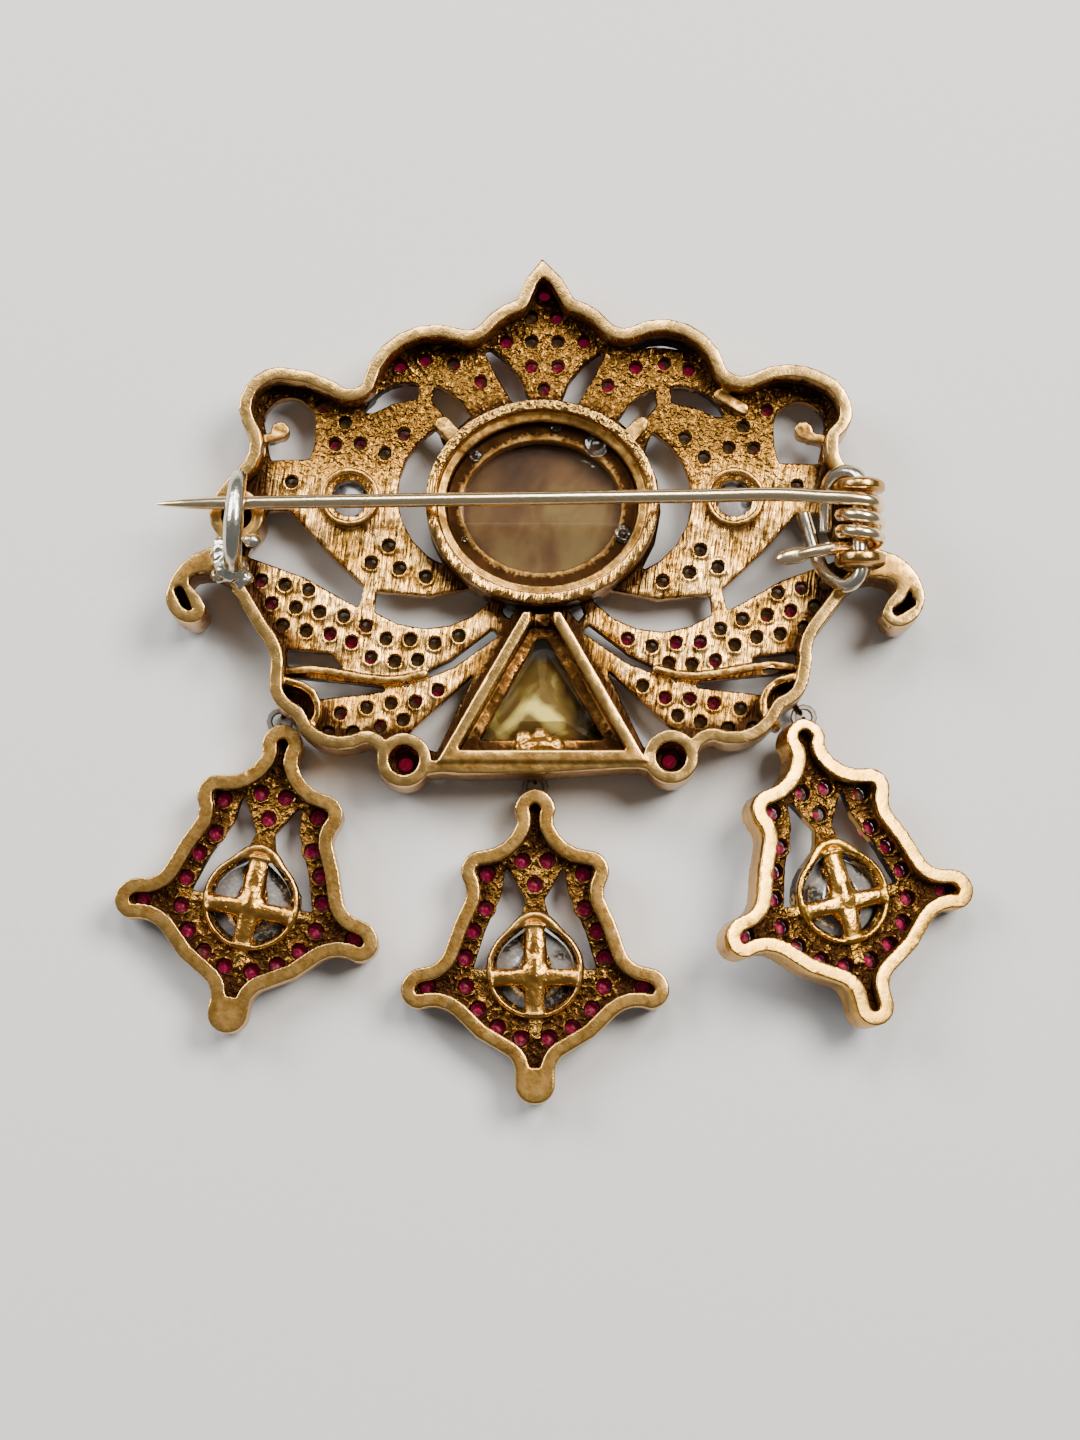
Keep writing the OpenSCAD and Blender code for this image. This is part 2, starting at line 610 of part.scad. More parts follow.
// Links
module link(l) color(silver) layout() translate([l.x, l.y, l.z]) {
    rotate_extrude($fn = 12) translate([link_r, 0]) circle(link_wire, $fn = 6);
}
module link_left() link(left_link);
module link_centre() link(centre_link);
module link_right() link(right_link);

// Drops
module placed(place) {
    layout() translate([place[0], place[1], place[2]])
        rotate([0, 0, place[3]]) rotate([0, place[4], 0]) children();
}
module drop_flat() both() polygon(closed(drop_outline));
function pear(r, top) =
    let (rise = top - pear_y, cut = acos(r / rise), steps = 20)
    concat(
        [for (i = [0 : steps]) let (a = 90 + cut + (360 - 2 * cut) * i / steps)
            [r * cos(a), pear_y + r * sin(a)]],
        [[0.35, top - 0.3], [-0.35, top - 0.3]]
    );
module drop_rim(slit) {
    difference() {
        drop_flat();
        difference() {
            offset(r = -drop_w, $fn = 24) drop_flat();
            if (!slit) translate([-3, -26]) square([6, 5.6]);
        }
        if (slit) disc_at([0, 0.1], 0.62, 16);
    }
}
module drop_casting(slit) {
    prism(0, drop_cut) offset(delta = -0.02) difference() {
        drop_rim(slit);
        holes(drop_stones, pave_r + stone_gap);
    }
    prism(drop_cut - 0.05, drop_h) offset(delta = -0.001) drop_rim(slit);
    prism(drop_plate_front, 1.75) offset(delta = -0.001) difference() {
        offset(delta = -0.5) drop_flat();
        both() polygon(closed(drop_gap));
        holes(drop_stones, drop_hole_r);
        offset(delta = -0.3) polygon(pear(pear_r, pear_top));
    }
    prism(0.2, 2.3) offset(delta = -0.001) difference() {
        polygon(pear(pear_r, pear_top));
        offset(delta = -pear_wall) polygon(pear(pear_r, pear_top));
    }
    // the cage behind the stone, and the struts that hold the bezel
    prism(1.9, 2.75) offset(r = 0.25, $fn = 12) offset(delta = -0.25) {
        translate([-0.75, -16.3]) square([1.5, 7.2]);
        translate([-3.5, -14.0]) square([7, 1.35]);
        translate([-1.2, -14.5]) square([2.4, 2.3]);
    }
    prism(0.9, 2.05) {
        both() translate([3.5, -13.5]) square([1.3, 0.8]);
        translate([-0.45, -18.2]) square([0.9, 2.0]);
    }
}
module drop_frame_left() color(gold) {
    placed(left_place) drop_casting(false);
    layout() ear(left_link, left_link[4]);
}
module drop_frame_centre() color(gold) {
    placed(centre_place) drop_casting(false);
    layout() ear(centre_link, centre_link[4]);
}
module drop_frame_right() color(gold) {
    placed(right_place) drop_casting(true);
    layout() ear(right_link, right_link[4], 0.9, 0.2, 0.35);
}
module drop_stone() {
    outline = pear(pear_r - pear_wall - 0.15, pear_top - 1.15);
    mid = [0, pear_y];
    loft([
        ring(outline, -drop_dome, 0.45, mid),
        ring(outline, -drop_dome + 0.35, 0.75, mid),
        ring(outline, 0.4, 1, mid),
        ring(outline, 0.8, 1, mid),
        ring(outline, 1.7, 0.5, mid)
    ]);
}
module drop_stone_left() color(clear) placed(left_place) drop_stone();
module drop_stone_centre() color(clear) placed(centre_place) drop_stone();
module drop_stone_right() color(clear) placed(right_place) drop_stone();
module drop_pave() {
    for (p = drop_stones) cut_stone(p, drop_table);
}
module drop_pave_left() color(ruby) placed(left_place) drop_pave();
module drop_pave_centre() color(ruby) placed(centre_place) drop_pave();
module drop_pave_right() color(ruby) placed(right_place) drop_pave();

brooch_frame();
centre_cabochon();
triangle_stone();
side_stone_left();
side_stone_right();
collet_stones();
pave_crown();
pave_upper_left();
pave_upper_right();
pave_crescent_left();
pave_crescent_right();
pave_lower_left();
pave_lower_right();
pave_bottom_left();
pave_bottom_right();
hinge_loop();
pin_wire();
link_left();
link_centre();
link_right();
drop_frame_left();
drop_frame_centre();
drop_frame_right();
drop_stone_left();
drop_stone_centre();
drop_stone_right();
drop_pave_left();
drop_pave_centre();
drop_pave_right();
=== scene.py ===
"""Looks of a cast gilt brooch that lies on its front: frame, stones, pin, catch and three drops."""
import logging
import math
from dataclasses import dataclass, field
from enum import Enum
from typing import Callable, Optional, Sequence

import bpy
import numpy as np
from mathutils import Matrix, Vector


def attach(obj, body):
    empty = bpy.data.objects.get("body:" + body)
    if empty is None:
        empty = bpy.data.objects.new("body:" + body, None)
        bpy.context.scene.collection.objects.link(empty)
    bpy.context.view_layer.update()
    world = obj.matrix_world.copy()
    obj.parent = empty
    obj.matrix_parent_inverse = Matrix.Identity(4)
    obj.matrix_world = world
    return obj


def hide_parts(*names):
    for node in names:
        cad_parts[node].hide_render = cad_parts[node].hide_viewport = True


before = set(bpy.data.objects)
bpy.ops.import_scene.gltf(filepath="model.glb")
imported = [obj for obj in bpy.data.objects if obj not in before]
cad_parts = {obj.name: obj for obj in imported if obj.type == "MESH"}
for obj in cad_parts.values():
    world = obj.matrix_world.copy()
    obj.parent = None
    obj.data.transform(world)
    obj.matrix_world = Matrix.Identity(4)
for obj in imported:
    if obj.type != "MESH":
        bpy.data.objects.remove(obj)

LOG = logging.getLogger("brooch")
MM = 0.001
Point = tuple[float, float, float]
Colour = tuple[float, float, float]
Piece = bpy.types.Object
Material = bpy.types.Material
Rows = np.ndarray
Mask = Callable[[Rows], Rows]

BROOCH = "brooch"
PIN = "pin"
SIDES = ("left", "right")
FIELDS = ("upper", "crescent", "lower", "bottom")
# From the layout's axes, which the part's source uses, to the frame's, in millimetres
SHIFT = Vector((-0.26, 13.6, 0.0))
# The pin's axle in the layout: its x and z
HINGE = (25.1, 8.5)
# How far a drop's stone reaches below the drop's own zero
DROP_DOME = 1.2
# Each drop's place in the layout, its turn about Z and its roll, in degrees
DROP_PLACES: dict[str, tuple[Point, float, float]] = {
    "left": ((-20.65, -18.95, DROP_DOME), -10.9, 0.0),
    "centre": ((-0.55, -24.1, DROP_DOME), 0.0, 0.0),
    "right": ((20.15, -18.85, 10.65 * math.sin(math.radians(15.0))), 13.8, 15.0),
}


class Bench:
    """Small jobs that every piece needs, with nothing else selected."""

    @staticmethod
    def only(obj: Piece) -> None:
        """Selects obj alone and makes it active."""
        bpy.ops.object.select_all(action="DESELECT")
        obj.select_set(True)
        bpy.context.view_layer.objects.active = obj

    @staticmethod
    def join(parts: Sequence[Piece]) -> Piece:
        """Joins meshes into the first of them."""
        Bench.only(parts[0])
        for part in parts:
            part.select_set(True)
        bpy.ops.object.join()
        return bpy.context.object

    @staticmethod
    def modify(obj: Piece, kind: str, **settings: object) -> None:
        """Adds a modifier and applies it.

        Args:
            obj: The piece.
            kind: The modifier's type.
            **settings: The modifier's settings.
        """
        Bench.only(obj)
        modifier = obj.modifiers.new(kind.title(), kind)
        for name, value in settings.items():
            setattr(modifier, name, value)
        bpy.ops.object.modifier_apply(modifier=modifier.name)

    @staticmethod
    def roughen(obj: Piece, size: float, strength: float, group: str = "") -> None:
        """Moves a piece's surface in and out by soft noise.

        Args:
            obj: The piece, in millimetres.
            size: Size of the bumps.
            strength: Height of the bumps.
            group: The vertex group that moves, or all.
        """
        clouds = bpy.data.textures.new(f"{obj.name}_unevenness", "CLOUDS")
        clouds.noise_scale = size
        settings = {"texture": clouds, "texture_coords": "LOCAL", "strength": strength, "mid_level": 0.5}
        Bench.modify(obj, "DISPLACE", **settings, vertex_group=group)

    @staticmethod
    def soften(obj: Piece, rounds: int, group: str = "") -> None:
        """Smooths a piece's points, or a group of them, some rounds."""
        Bench.modify(obj, "SMOOTH", factor=0.5, iterations=rounds, vertex_group=group)

    @staticmethod
    def group(obj: Piece, name: str, chosen: Rows) -> None:
        """Makes a vertex group of the chosen points."""
        obj.vertex_groups.new(name=name).add(np.nonzero(chosen)[0].tolist(), 1.0, "REPLACE")

    @staticmethod
    def points(obj: Piece, what: str = "co") -> Rows:
        """A mesh's points, or their normals, as rows."""
        flat = np.empty(len(obj.data.vertices) * 3)
        obj.data.vertices.foreach_get(what, flat)
        return flat.reshape(-1, 3)

    @staticmethod
    def stone_centres(node: str, place: Matrix) -> list[Vector]:
        """The places of a field's small stones, from the point at the back of each.

        Args:
            node: The CAD node of the field.
            place: The casting's own axes, in millimetres.

        Returns:
            The points in the casting's own axes.
        """
        back = place.inverted()
        points = [back @ (vertex.co / MM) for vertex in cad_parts[node].data.vertices]
        top = max(point.z for point in points)
        return list({(round(p.x, 1), round(p.y, 1)): p for p in points if p.z > top - 0.05}.values())

    @staticmethod
    def smooth(obj: Piece, angle: float = 180.0) -> None:
        """Shades a piece smooth where its faces meet under an angle."""
        Bench.only(obj)
        if angle >= 180.0:
            bpy.ops.object.shade_smooth()
        else:
            bpy.ops.object.shade_smooth_by_angle(angle=math.radians(angle))

    @staticmethod
    def merge(obj: Piece, gap: float, outward: bool = False) -> None:
        """Merges points that lie within a gap, and turns the faces outward if asked."""
        Bench.only(obj)
        bpy.ops.object.mode_set(mode="EDIT")
        bpy.ops.mesh.select_all(action="SELECT")
        bpy.ops.mesh.remove_doubles(threshold=gap)
        if outward:
            bpy.ops.mesh.normals_make_consistent(inside=False)
        bpy.ops.object.mode_set(mode="OBJECT")

    @staticmethod
    def merged_copy(node: str, name: str) -> Piece:
        """Copies a CAD node's mesh in millimetres, with its loose triangles merged.

        Args:
            node: The CAD node.
            name: The copy's name.

        Returns:
            The copy.
        """
        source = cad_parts[node]
        mesh = source.data.copy()
        mesh.materials.clear()
        mesh.transform(Matrix.Scale(1 / MM, 4))
        copy = bpy.data.objects.new(name, mesh)
        bpy.context.scene.collection.objects.link(copy)
        Bench.only(copy)
        if mesh.has_custom_normals:
            bpy.ops.mesh.customdata_custom_splitnormals_clear()
        Bench.merge(copy, 1e-3)
        return copy


class Sock:
    """A node's output that takes part in Python arithmetic."""

    def __init__(self, recipe: "Recipe", socket: bpy.types.NodeSocket) -> None:
        """Keeps the socket and the recipe that it is in."""
        self.recipe = recipe
        self.socket = socket

    def _math(self, operation: str, *values: object) -> "Sock":
        """Adds one Math node."""
        return self.recipe.node("ShaderNodeMath", {"operation": operation}, *values)

    def __add__(self, other: object) -> "Sock":
        """Sum."""
        return self._math("ADD", self, other)

    __radd__ = __add__

    def __mul__(self, other: object) -> "Sock":
        """Product."""
        return self._math("MULTIPLY", self, other)

    def __sub__(self, other: object) -> "Sock":
        """Difference."""
        return self._math("SUBTRACT", self, other)

    def __rsub__(self, other: object) -> "Sock":
        """Difference with a number first."""
        return self._math("SUBTRACT", other, self)

    def __pow__(self, other: object) -> "Sock":
        """Power."""
        return self._math("POWER", self, other)

    def ramp(self, low: float, high: float, start: float = 0.0, end: float = 1.0) -> "Sock":
        """Maps low..high to start..end, held at both ends."""
        return self.recipe.node("ShaderNodeMapRange", {"clamp": True}, self, low, high, start, end)


class Recipe:
    """A material's node tree, written as expressions."""

    OBJECT_COORDINATES = 3  # output of Texture Coordinate
    FACTOR_OUTPUT = 2  # output of Attribute
    MIX_COLOURS = (0, 6, 7)  # factor and colour inputs of Mix
    MIXED_COLOUR = 2  # colour output of Mix

    def __init__(self, name: str) -> None:
        """Starts an empty material.

        Args:
            name: The material's name.
        """
        self.material = bpy.data.materials.new(name)
        self.material.use_nodes = True
        self.tree = self.material.node_tree
        self.tree.nodes.clear()
        self.out = self.tree.nodes.new("ShaderNodeOutputMaterial")

    def node(self, kind: str, settings: dict[str, object], *values: object, output: int = 0, **named: object) -> Sock:
        """Adds any node.

        Args:
            kind: The node's type.
            settings: Its settings, set first; "stops" sets a ramp's colours.
            *values: Values or links of its sockets, in order.
            output: Which output to give back.
            **named: Values or links of sockets by name, with _ for a space.

        Returns:
            The chosen output.
        """
        node = self.tree.nodes.new(kind)
        for name, value in settings.items():
            if name == "stops":
                self._stops(node, value)
            else:
                setattr(node, name, value)
        pairs = list(zip(node.inputs, values))
        pairs += [(node.inputs[name.replace("_", " ")], value) for name, value in named.items()]
        for socket, value in pairs:
            if isinstance(value, Sock):
                self.tree.links.new(value.socket, socket)
            elif value is not None:
                socket.default_value = value
        return Sock(self, node.outputs[output])

    @staticmethod
    def _stops(node: bpy.types.Node, stops: Sequence[tuple[float, Colour]]) -> None:
        """Sets a colour ramp's stops."""
        elements = node.color_ramp.elements
        while len(elements) < len(stops):
            elements.new(0.5)
        for element, (place, colour) in zip(elements, stops):
            element.position = place
            element.color = (*colour, 1.0)

    def place(self, scale: Point = (1, 1, 1), turn: float = 0.0) -> Sock:
        """Object coordinates in millimetres, scaled and turned about Z.

        Args:
            scale: Further scale along each axis, after the turn.
            turn: Turn in degrees.

        Returns:
            The coordinates.
        """
        coords = self.node("ShaderNodeTexCoord", {}, output=self.OBJECT_COORDINATES)
        spun = self.node("ShaderNodeMapping", {}, coords, None, (0, 0, math.radians(turn)), (1 / MM,) * 3)
        return self.node("ShaderNodeVectorMath", {"operation": "MULTIPLY"}, spun, scale)

    def noise(self, place: Sock, scale: float, detail: float = 3.0, rough: float = 0.5, warp: float = 0.0) -> Sock:
        """Soft noise from 0 to 1, with its size as a scale per millimetre."""
        return self.node(
            "ShaderNodeTexNoise", {}, Vector=place, Scale=scale, Detail=detail, Roughness=rough, Distortion=warp
        )

    def attribute(self, name: str) -> Sock:
        """A value kept on the mesh's points."""
        return self.node("ShaderNodeAttribute", {"attribute_name": name}, output=self.FACTOR_OUTPUT)

    def mix(self, factor: object, a: object, b: object) -> Sock:
        """Mixes two colours."""
        node = self.tree.nodes.new("ShaderNodeMix")
        node.data_type = "RGBA"
        for index, value in zip(self.MIX_COLOURS, (factor, a, b)):
            if isinstance(value, Sock):
                self.tree.links.new(value.socket, node.inputs[index])
            else:
                node.inputs[index].default_value = (*value, 1.0) if isinstance(value, tuple) else value
        return Sock(self, node.outputs[self.MIXED_COLOUR])

    def bump(self, height: Sock, distance: float, strength: float = 1.0, under: Optional[Sock] = None) -> Sock:
        """A bump of some distance in millimetres, over another one if given."""
        return self.node("ShaderNodeBump", {}, Strength=strength, Distance=distance * MM, Height=height, Normal=under)

    def finish(self, **inputs: object) -> Material:
        """Ends the material in a Principled shader.

        Args:
            **inputs: The shader's sockets by name, with _ for a space.

        Returns:
            The material.
        """
        surface = self.node("ShaderNodeBsdfPrincipled", {}, **inputs)
        self.tree.links.new(surface.socket, self.out.inputs["Surface"])
        return self.material


def darker(colour: Colour, share: float) -> Colour:
    """A colour with only a share of its light."""
    return tuple(part * share for part in colour)


@dataclass(frozen=True)
class CastGilt:
    """Gilt cast metal: ridged plates, rubbed rims, and recesses darkened with painted shade and dirt.

    The accent is the glaze in the triangular bezel and on the cages; the turn is in degrees.
    """

    name: str
    rim: Colour = (0.40, 0.185, 0.034)
    rim_pale: Colour = (0.56, 0.315, 0.085)
    plate: Colour = (0.50, 0.235, 0.04)
    plate_pale: Colour = (0.86, 0.49, 0.15)
    accent: Colour = (0.25, 0.10, 0.02)
    worn_and_highlit: Colour = (0.66, 0.41, 0.13)
    # The recess colour paints shade into the hollows, and dirt into soft patches
    recess: Colour = (0.025, 0.010, 0.003)
    ridge_turn: float = 8.0

    def make(self) -> Material:
        """Builds the material."""
        r = Recipe(self.name)
        flat = r.place()
        top, ridged, deep = r.attribute("rubbed"), r.attribute("ridged"), r.attribute("recess")
        edge, rosy, dull = r.attribute("edge"), r.attribute("rosy"), r.attribute("dull")
        patches = r.noise(flat, 0.28, 3.0)
        grains = r.noise(flat, 4.0, 2.0)
        ridges = r.noise(r.place((5.0, 0.45, 1.0), self.ridge_turn), 1.0, 1.0, 0.5, 0.25)
        hammer = r.noise(flat, 2.3, 2.0, 0.5, 0.5)
        scratches = r.noise(r.place((0.9, 14.0, 3.0), 35.0), 1.0, 2.0, 0.6)
        mottle = r.noise(flat, 1.3, 4.0, 0.65)
        # Painted shade fills the recesses and dirt lies in soft patches; both are taken off edges and high flecks
        # Raised flecks of the beaten plates stay light, as rubbed gilt and as painted glints
        flecks = hammer.ramp(0.54, 0.66) * ridged * dull
        uneven = ((patches - 0.5) * 0.7 + (grains - 0.5) * 0.7) * (1.0 - top * 0.7)
        dirt_and_shade = (deep * 1.9 + uneven - edge * 0.8 - flecks * 0.7).ramp(0.3, 1.0)
        # The plates are bright below, dull towards the crown, and darkened by painted shade between their ridges
        plate = r.mix((patches - dull * 0.3).ramp(0.4, 0.62), self.plate, self.plate_pale)
        plate = r.mix(dull * (0.97 - flecks * 0.5), plate, darker(self.plate, 0.24))
        plate = r.mix(ridges.ramp(0.34, 0.54), darker(self.plate, 0.3), plate)
        # The rims are mottled and scratched, with worn edges that are also lightened as a painted highlight
        rim = r.mix(mottle.ramp(0.35, 0.62), self.rim, self.rim_pale)
        rim = r.mix(scratches.ramp(0.64, 0.8), rim, darker(self.rim, 0.8))
        rim = r.mix((edge * top + (mottle - 0.5) * 0.25).ramp(0.35, 1.1) * 0.8, rim, self.worn_and_highlit)
        colour = r.mix(ridged, rim, plate)
        colour = r.mix(rosy, colour, self.accent)
        colour = r.mix(dirt_and_shade, colour, self.recess)
        rough = 0.31 - ridged * 0.06 - rosy * 0.08 - edge * 0.08 + dirt_and_shade * 0.2 + (mottle - 0.5) * (0.3 - top * 0.15)
        waves = r.bump(patches * (1.0 - top * 0.85), 0.45, 0.8)
        cast = r.bump(ridges * ridged * (1.0 - dull * 0.8), 0.16, 1.0, waves)
        beaten = r.bump(hammer * (ridged * dull + rosy * 0.15), 0.34, 0.9, cast)
        pits = r.bump(grains, 0.014, 0.8, beaten)
        fine = r.bump(scratches * top, 0.008, 0.8, pits)
        return r.finish(Base_Color=colour, Metallic=1.0, Roughness=rough, Normal=fine)


@dataclass(frozen=True)
class Wire:
    """Drawn or soldered wire, brushed along and slightly stained."""

    name: str
    colour: Colour
    stain: Colour
    roughness: float = 0.24
    unevenness: float = 0.008

    def make(self) -> Material:
        """Builds the material."""
        r = Recipe(self.name)
        flat = r.place()
        blotches = r.noise(flat, 0.9, 4.0, 0.6)
        grains = r.noise(flat, 7.0, 2.0)
        lines = r.noise(r.place((0.15, 6.0, 6.0)), 1.0, 2.0)
        stained = blotches.ramp(0.52, 0.8)
        colour = r.mix(stained, self.colour, self.stain)
        rough = self.roughness + stained * 0.14 + (lines - 0.5) * 0.08
        low = r.bump(blotches, self.unevenness * 4, 0.6)
        return r.finish(
            Base_Color=colour, Metallic=1.0, Roughness=rough, Normal=r.bump(grains, self.unevenness, 0.6, low)
        )


@dataclass(frozen=True)
class CloudyStone:
    """A polished stone with clouds and pearly streaks in it, and painted highlights along its facets.

    Attributes:
        fall: How much the tone falls per millimetre above middle_y.
        keel: Where the facets meet, in the frame, in millimetres.
        highlight_arms: Painted highlights from there along the facets: direction in degrees, half width and painted
            glow.
        reach: How far from the keel the dark border starts, nearer along y by aspect.
    """

    name: str
    dark: Colour
    middle: Colour
    bright: Colour
    streak_turn: float = 0.0
    streak_scale: Point = (0.25, 0.12, 0.3)
    roughness: float = 0.14
    contrast: float = 1.0
    middle_y: float = 0.0
    fall: float = 0.0
    keel: tuple[float, float] = (0.0, 0.0)
    highlight_arms: tuple[tuple[float, float, float], ...] = ()
    reach: float = 99.0
    aspect: float = 1.0

    def make(self) -> Material:
        """Builds the material."""
        r = Recipe(self.name)
        border, border_depth = 1.6, 0.35
        clouds = r.noise(r.place(self.streak_scale, self.streak_turn), 1.0, 2.5, 0.45, 1.2)
        mottle = r.noise(r.place(), 0.8, 4.0)
        speckle = r.noise(r.place(), 6.0, 2.0)
        down = r.node("ShaderNodeSeparateXYZ", {}, r.place(), output=1)
        tone = clouds * self.contrast + (0.5 - 0.5 * self.contrast) + (mottle - 0.5) * 0.14
        tone = tone + (self.middle_y - down) * self.fall
        x = r.node("ShaderNodeSeparateXYZ", {}, r.place()) - self.keel[0]
        y = down - self.keel[1]
        # Painted highlights along the facets, starting from the keel
        for turn, width, painted_glow in self.highlight_arms:
            c, s = math.cos(math.radians(turn)), math.sin(math.radians(turn))
            along, off = x * c + y * s, y * c - x * s
            across = (off * off).ramp(0.0, width**2, 1.0, 0.0) ** 2.0
            tone = tone + across * along.ramp(-0.3, 0.5) * along.ramp(2.6, 5.0, painted_glow, 0.0)
        away = x * x + y * y * self.aspect
        tone = tone - away.ramp(self.reach**2, (self.reach + border) ** 2, 0.0, border_depth)
        stops = [(0.25, self.dark), (0.5, self.middle), (0.72, self.bright)]
        colour = r.node("ShaderNodeValToRGB", {"stops": stops}, tone)
        waves = r.bump(clouds, 0.25, 0.5)
        return r.finish(
            Base_Color=colour,
            Roughness=self.roughness + (speckle - 0.5) * 0.12,
            Normal=r.bump(mottle, 0.03, 0.5, waves),
            Coat_Weight=0.6,
            Subsurface_Weight=0.15,
            Subsurface_Radius=(0.002, 0.0015, 0.001),
        )


@dataclass(frozen=True)
class CutStone:
    """A small faceted stone; a higher share gives more stones the first colour, and painted_glow paints the light that
    shines through it as emission.
    """

    name: str
    colour: Colour
    other: Colour
    share: float
    transmission: float = 0.5
    painted_glow: float = 0.1

    def make(self) -> Material:
        """Builds the material."""
        r = Recipe(self.name)
        choice = r.noise(r.place(), 0.42, 0.0)
        tint = r.mix(choice.ramp(self.share - 0.02, self.share + 0.02), self.colour, self.other)
        dust = r.noise(r.place(), 3.5, 3.0)
        colour = r.mix(dust.ramp(0.5, 0.8), tint, (0.42, 0.36, 0.28))
        return r.finish(
            Base_Color=colour,
            Roughness=0.06 + dust * 0.16,
            IOR=1.7,
            Transmission_Weight=self.transmission,
            # Emission is painted light, as if light shone through the stone
            Emission_Color=tint,
            Emission_Strength=self.painted_glow,
            Normal=r.bump(dust, 0.01, 0.4),
        )


@dataclass(frozen=True)
class ClearGlue:
    """Clear glue, with its index of refraction and how strongly it mirrors."""

    name: str = "clear_glue"
    index: float = 1.1
    gloss: float = 0.2

    def make(self) -> Material:
        """Builds the material."""
        r = Recipe(self.name)
        bubbles = r.noise(r.place(), 1.6, 3.0)
        colour = r.mix(bubbles.ramp(0.4, 0.8), (0.98, 0.96, 0.88), (0.94, 0.88, 0.72))
        return r.finish(
            Base_Color=colour,
            Roughness=0.02 + bubbles * 0.04,
            IOR=self.index,
            Transmission_Weight=1.0,
            Specular_IOR_Level=self.gloss,
            Normal=r.bump(bubbles, 0.03, 0.3),
        )


@dataclass(frozen=True)
class PaleFloor:
    """Pale matt paper."""

    name: str = "pale_paper"

    def make(self) -> Material:
        """Builds the material."""
        r = Recipe(self.name)
        fibres = r.noise(r.place(), 1.5, 4.0)
        colour = r.mix(fibres, (0.58, 0.565, 0.54), (0.63, 0.615, 0.59))
        return r.finish(Base_Color=colour, Roughness=0.75, Normal=r.bump(fibres, 0.03, 0.35))


class Finish(Enum):
    """The finishes of the brooch."""

    GILT = CastGilt("gilt_casting")
    DROP_GILT = CastGilt(
        "gilt_drop", (0.46, 0.222, 0.04), (0.55, 0.31, 0.085), accent=(0.54, 0.26, 0.05), ridge_turn=60.0
    )
    # The right drop's own copy of the drop gilt, tinted for the key lamp that lights its tilted face
    LIT_DROP_GILT = CastGilt(
        "gilt_lit_drop", (0.46, 0.225, 0.028), (0.54, 0.30, 0.05), accent=(0.52, 0.26, 0.05), ridge_turn=60.0
    )
    PIN_WIRE = Wire("champagne_wire", (0.92, 0.72, 0.43), (0.62, 0.42, 0.18), 0.18)
    AXLE_WIRE = Wire("axle_wire", (0.66, 0.60, 0.47), (0.42, 0.34, 0.22), 0.2)
    SOLDERED = Wire("soldered_silver", (0.70, 0.66, 0.54), (0.34, 0.30, 0.24), 0.2, 0.02)
    LINK = Wire("dark_link", (0.30, 0.26, 0.22), (0.14, 0.10, 0.07), 0.35)
    OVAL = CloudyStone(
        "olive_pearl", (0.022, 0.012, 0.009), (0.095, 0.05, 0.02), (0.17, 0.12, 0.042), 20.0,
        contrast=0.55, middle_y=13.5, fall=0.018, keel=(-0.26, 13.9), reach=5.7, aspect=1.3,
    )
    TRIANGLE = CloudyStone(
        "yellow_pearl", (0.03, 0.022, 0.010), (0.135, 0.085, 0.024), (0.85, 0.70, 0.20), 65.0, (0.35, 0.2, 0.4),
        contrast=0.5, keel=(-1.36, -1.99), highlight_arms=((-130.0, 0.8, 0.2), (-38.0, 1.0, 0.27), (98.0, 1.2, 0.05)), reach=3.4,
    )
    CLEAR = CutStone("clear_stone", (0.62, 0.64, 0.68), (0.12, 0.12, 0.14), 0.5, 0.3, 0.02)
    RUBY = CutStone("ruby_stone", (0.80, 0.02, 0.13), (0.22, 0.12, 0.05), 0.56, 0.1)
    WINE = CutStone("wine_stone", (0.50, 0.012, 0.08), (0.16, 0.09, 0.04), 0.72, 0.1, 0.05)
    SHADED = CutStone("shaded_stone", (0.20, 0.19, 0.18), (0.03, 0.026, 0.022), 0.54, 0.2, 0.0)
    SMOKY = CutStone("smoky_stone", (0.70, 0.03, 0.10), (0.34, 0.19, 0.06), 0.40, 0.15, 0.04)
    GLUE = ClearGlue()
    BUBBLE = ClearGlue("glue_bubble", 1.6, 0.5)
    FLOOR = PaleFloor()


class Workshop:
    """Dresses pieces, sets them on their bodies and reports them."""

    def __init__(self) -> None:
        """Starts with no finish made."""
        self._made: dict[Finish, Material] = {}

    def dress(self, obj: Piece, finish: Finish) -> None:
        """Gives a piece or a CAD node its only material, which is made once."""
        if finish not in self._made:
            self._made[finish] = finish.value.make()
        obj.data.materials.clear()
        obj.data.materials.append(self._made[finish])

    def add(
        self, obj: Piece, finish: Finish, slot: str, body: str = BROOCH, replaced: Sequence[str] = ()
    ) -> None:
        """Finishes a new piece that was made in millimetres.

        Args:
            obj: The piece.
            finish: Its finish.
            slot: A material slot's name; not used.
            body: The body it rides on.
            replaced: The CAD nodes it stands for.
        """
        obj.data.transform(Matrix.Scale(MM, 4))
        obj.data.update()
        self.dress(obj, finish)
        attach(obj, body)
        if replaced:
            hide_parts(*replaced)
        LOG.info("%s: %d faces", obj.name, len(obj.data.polygons))


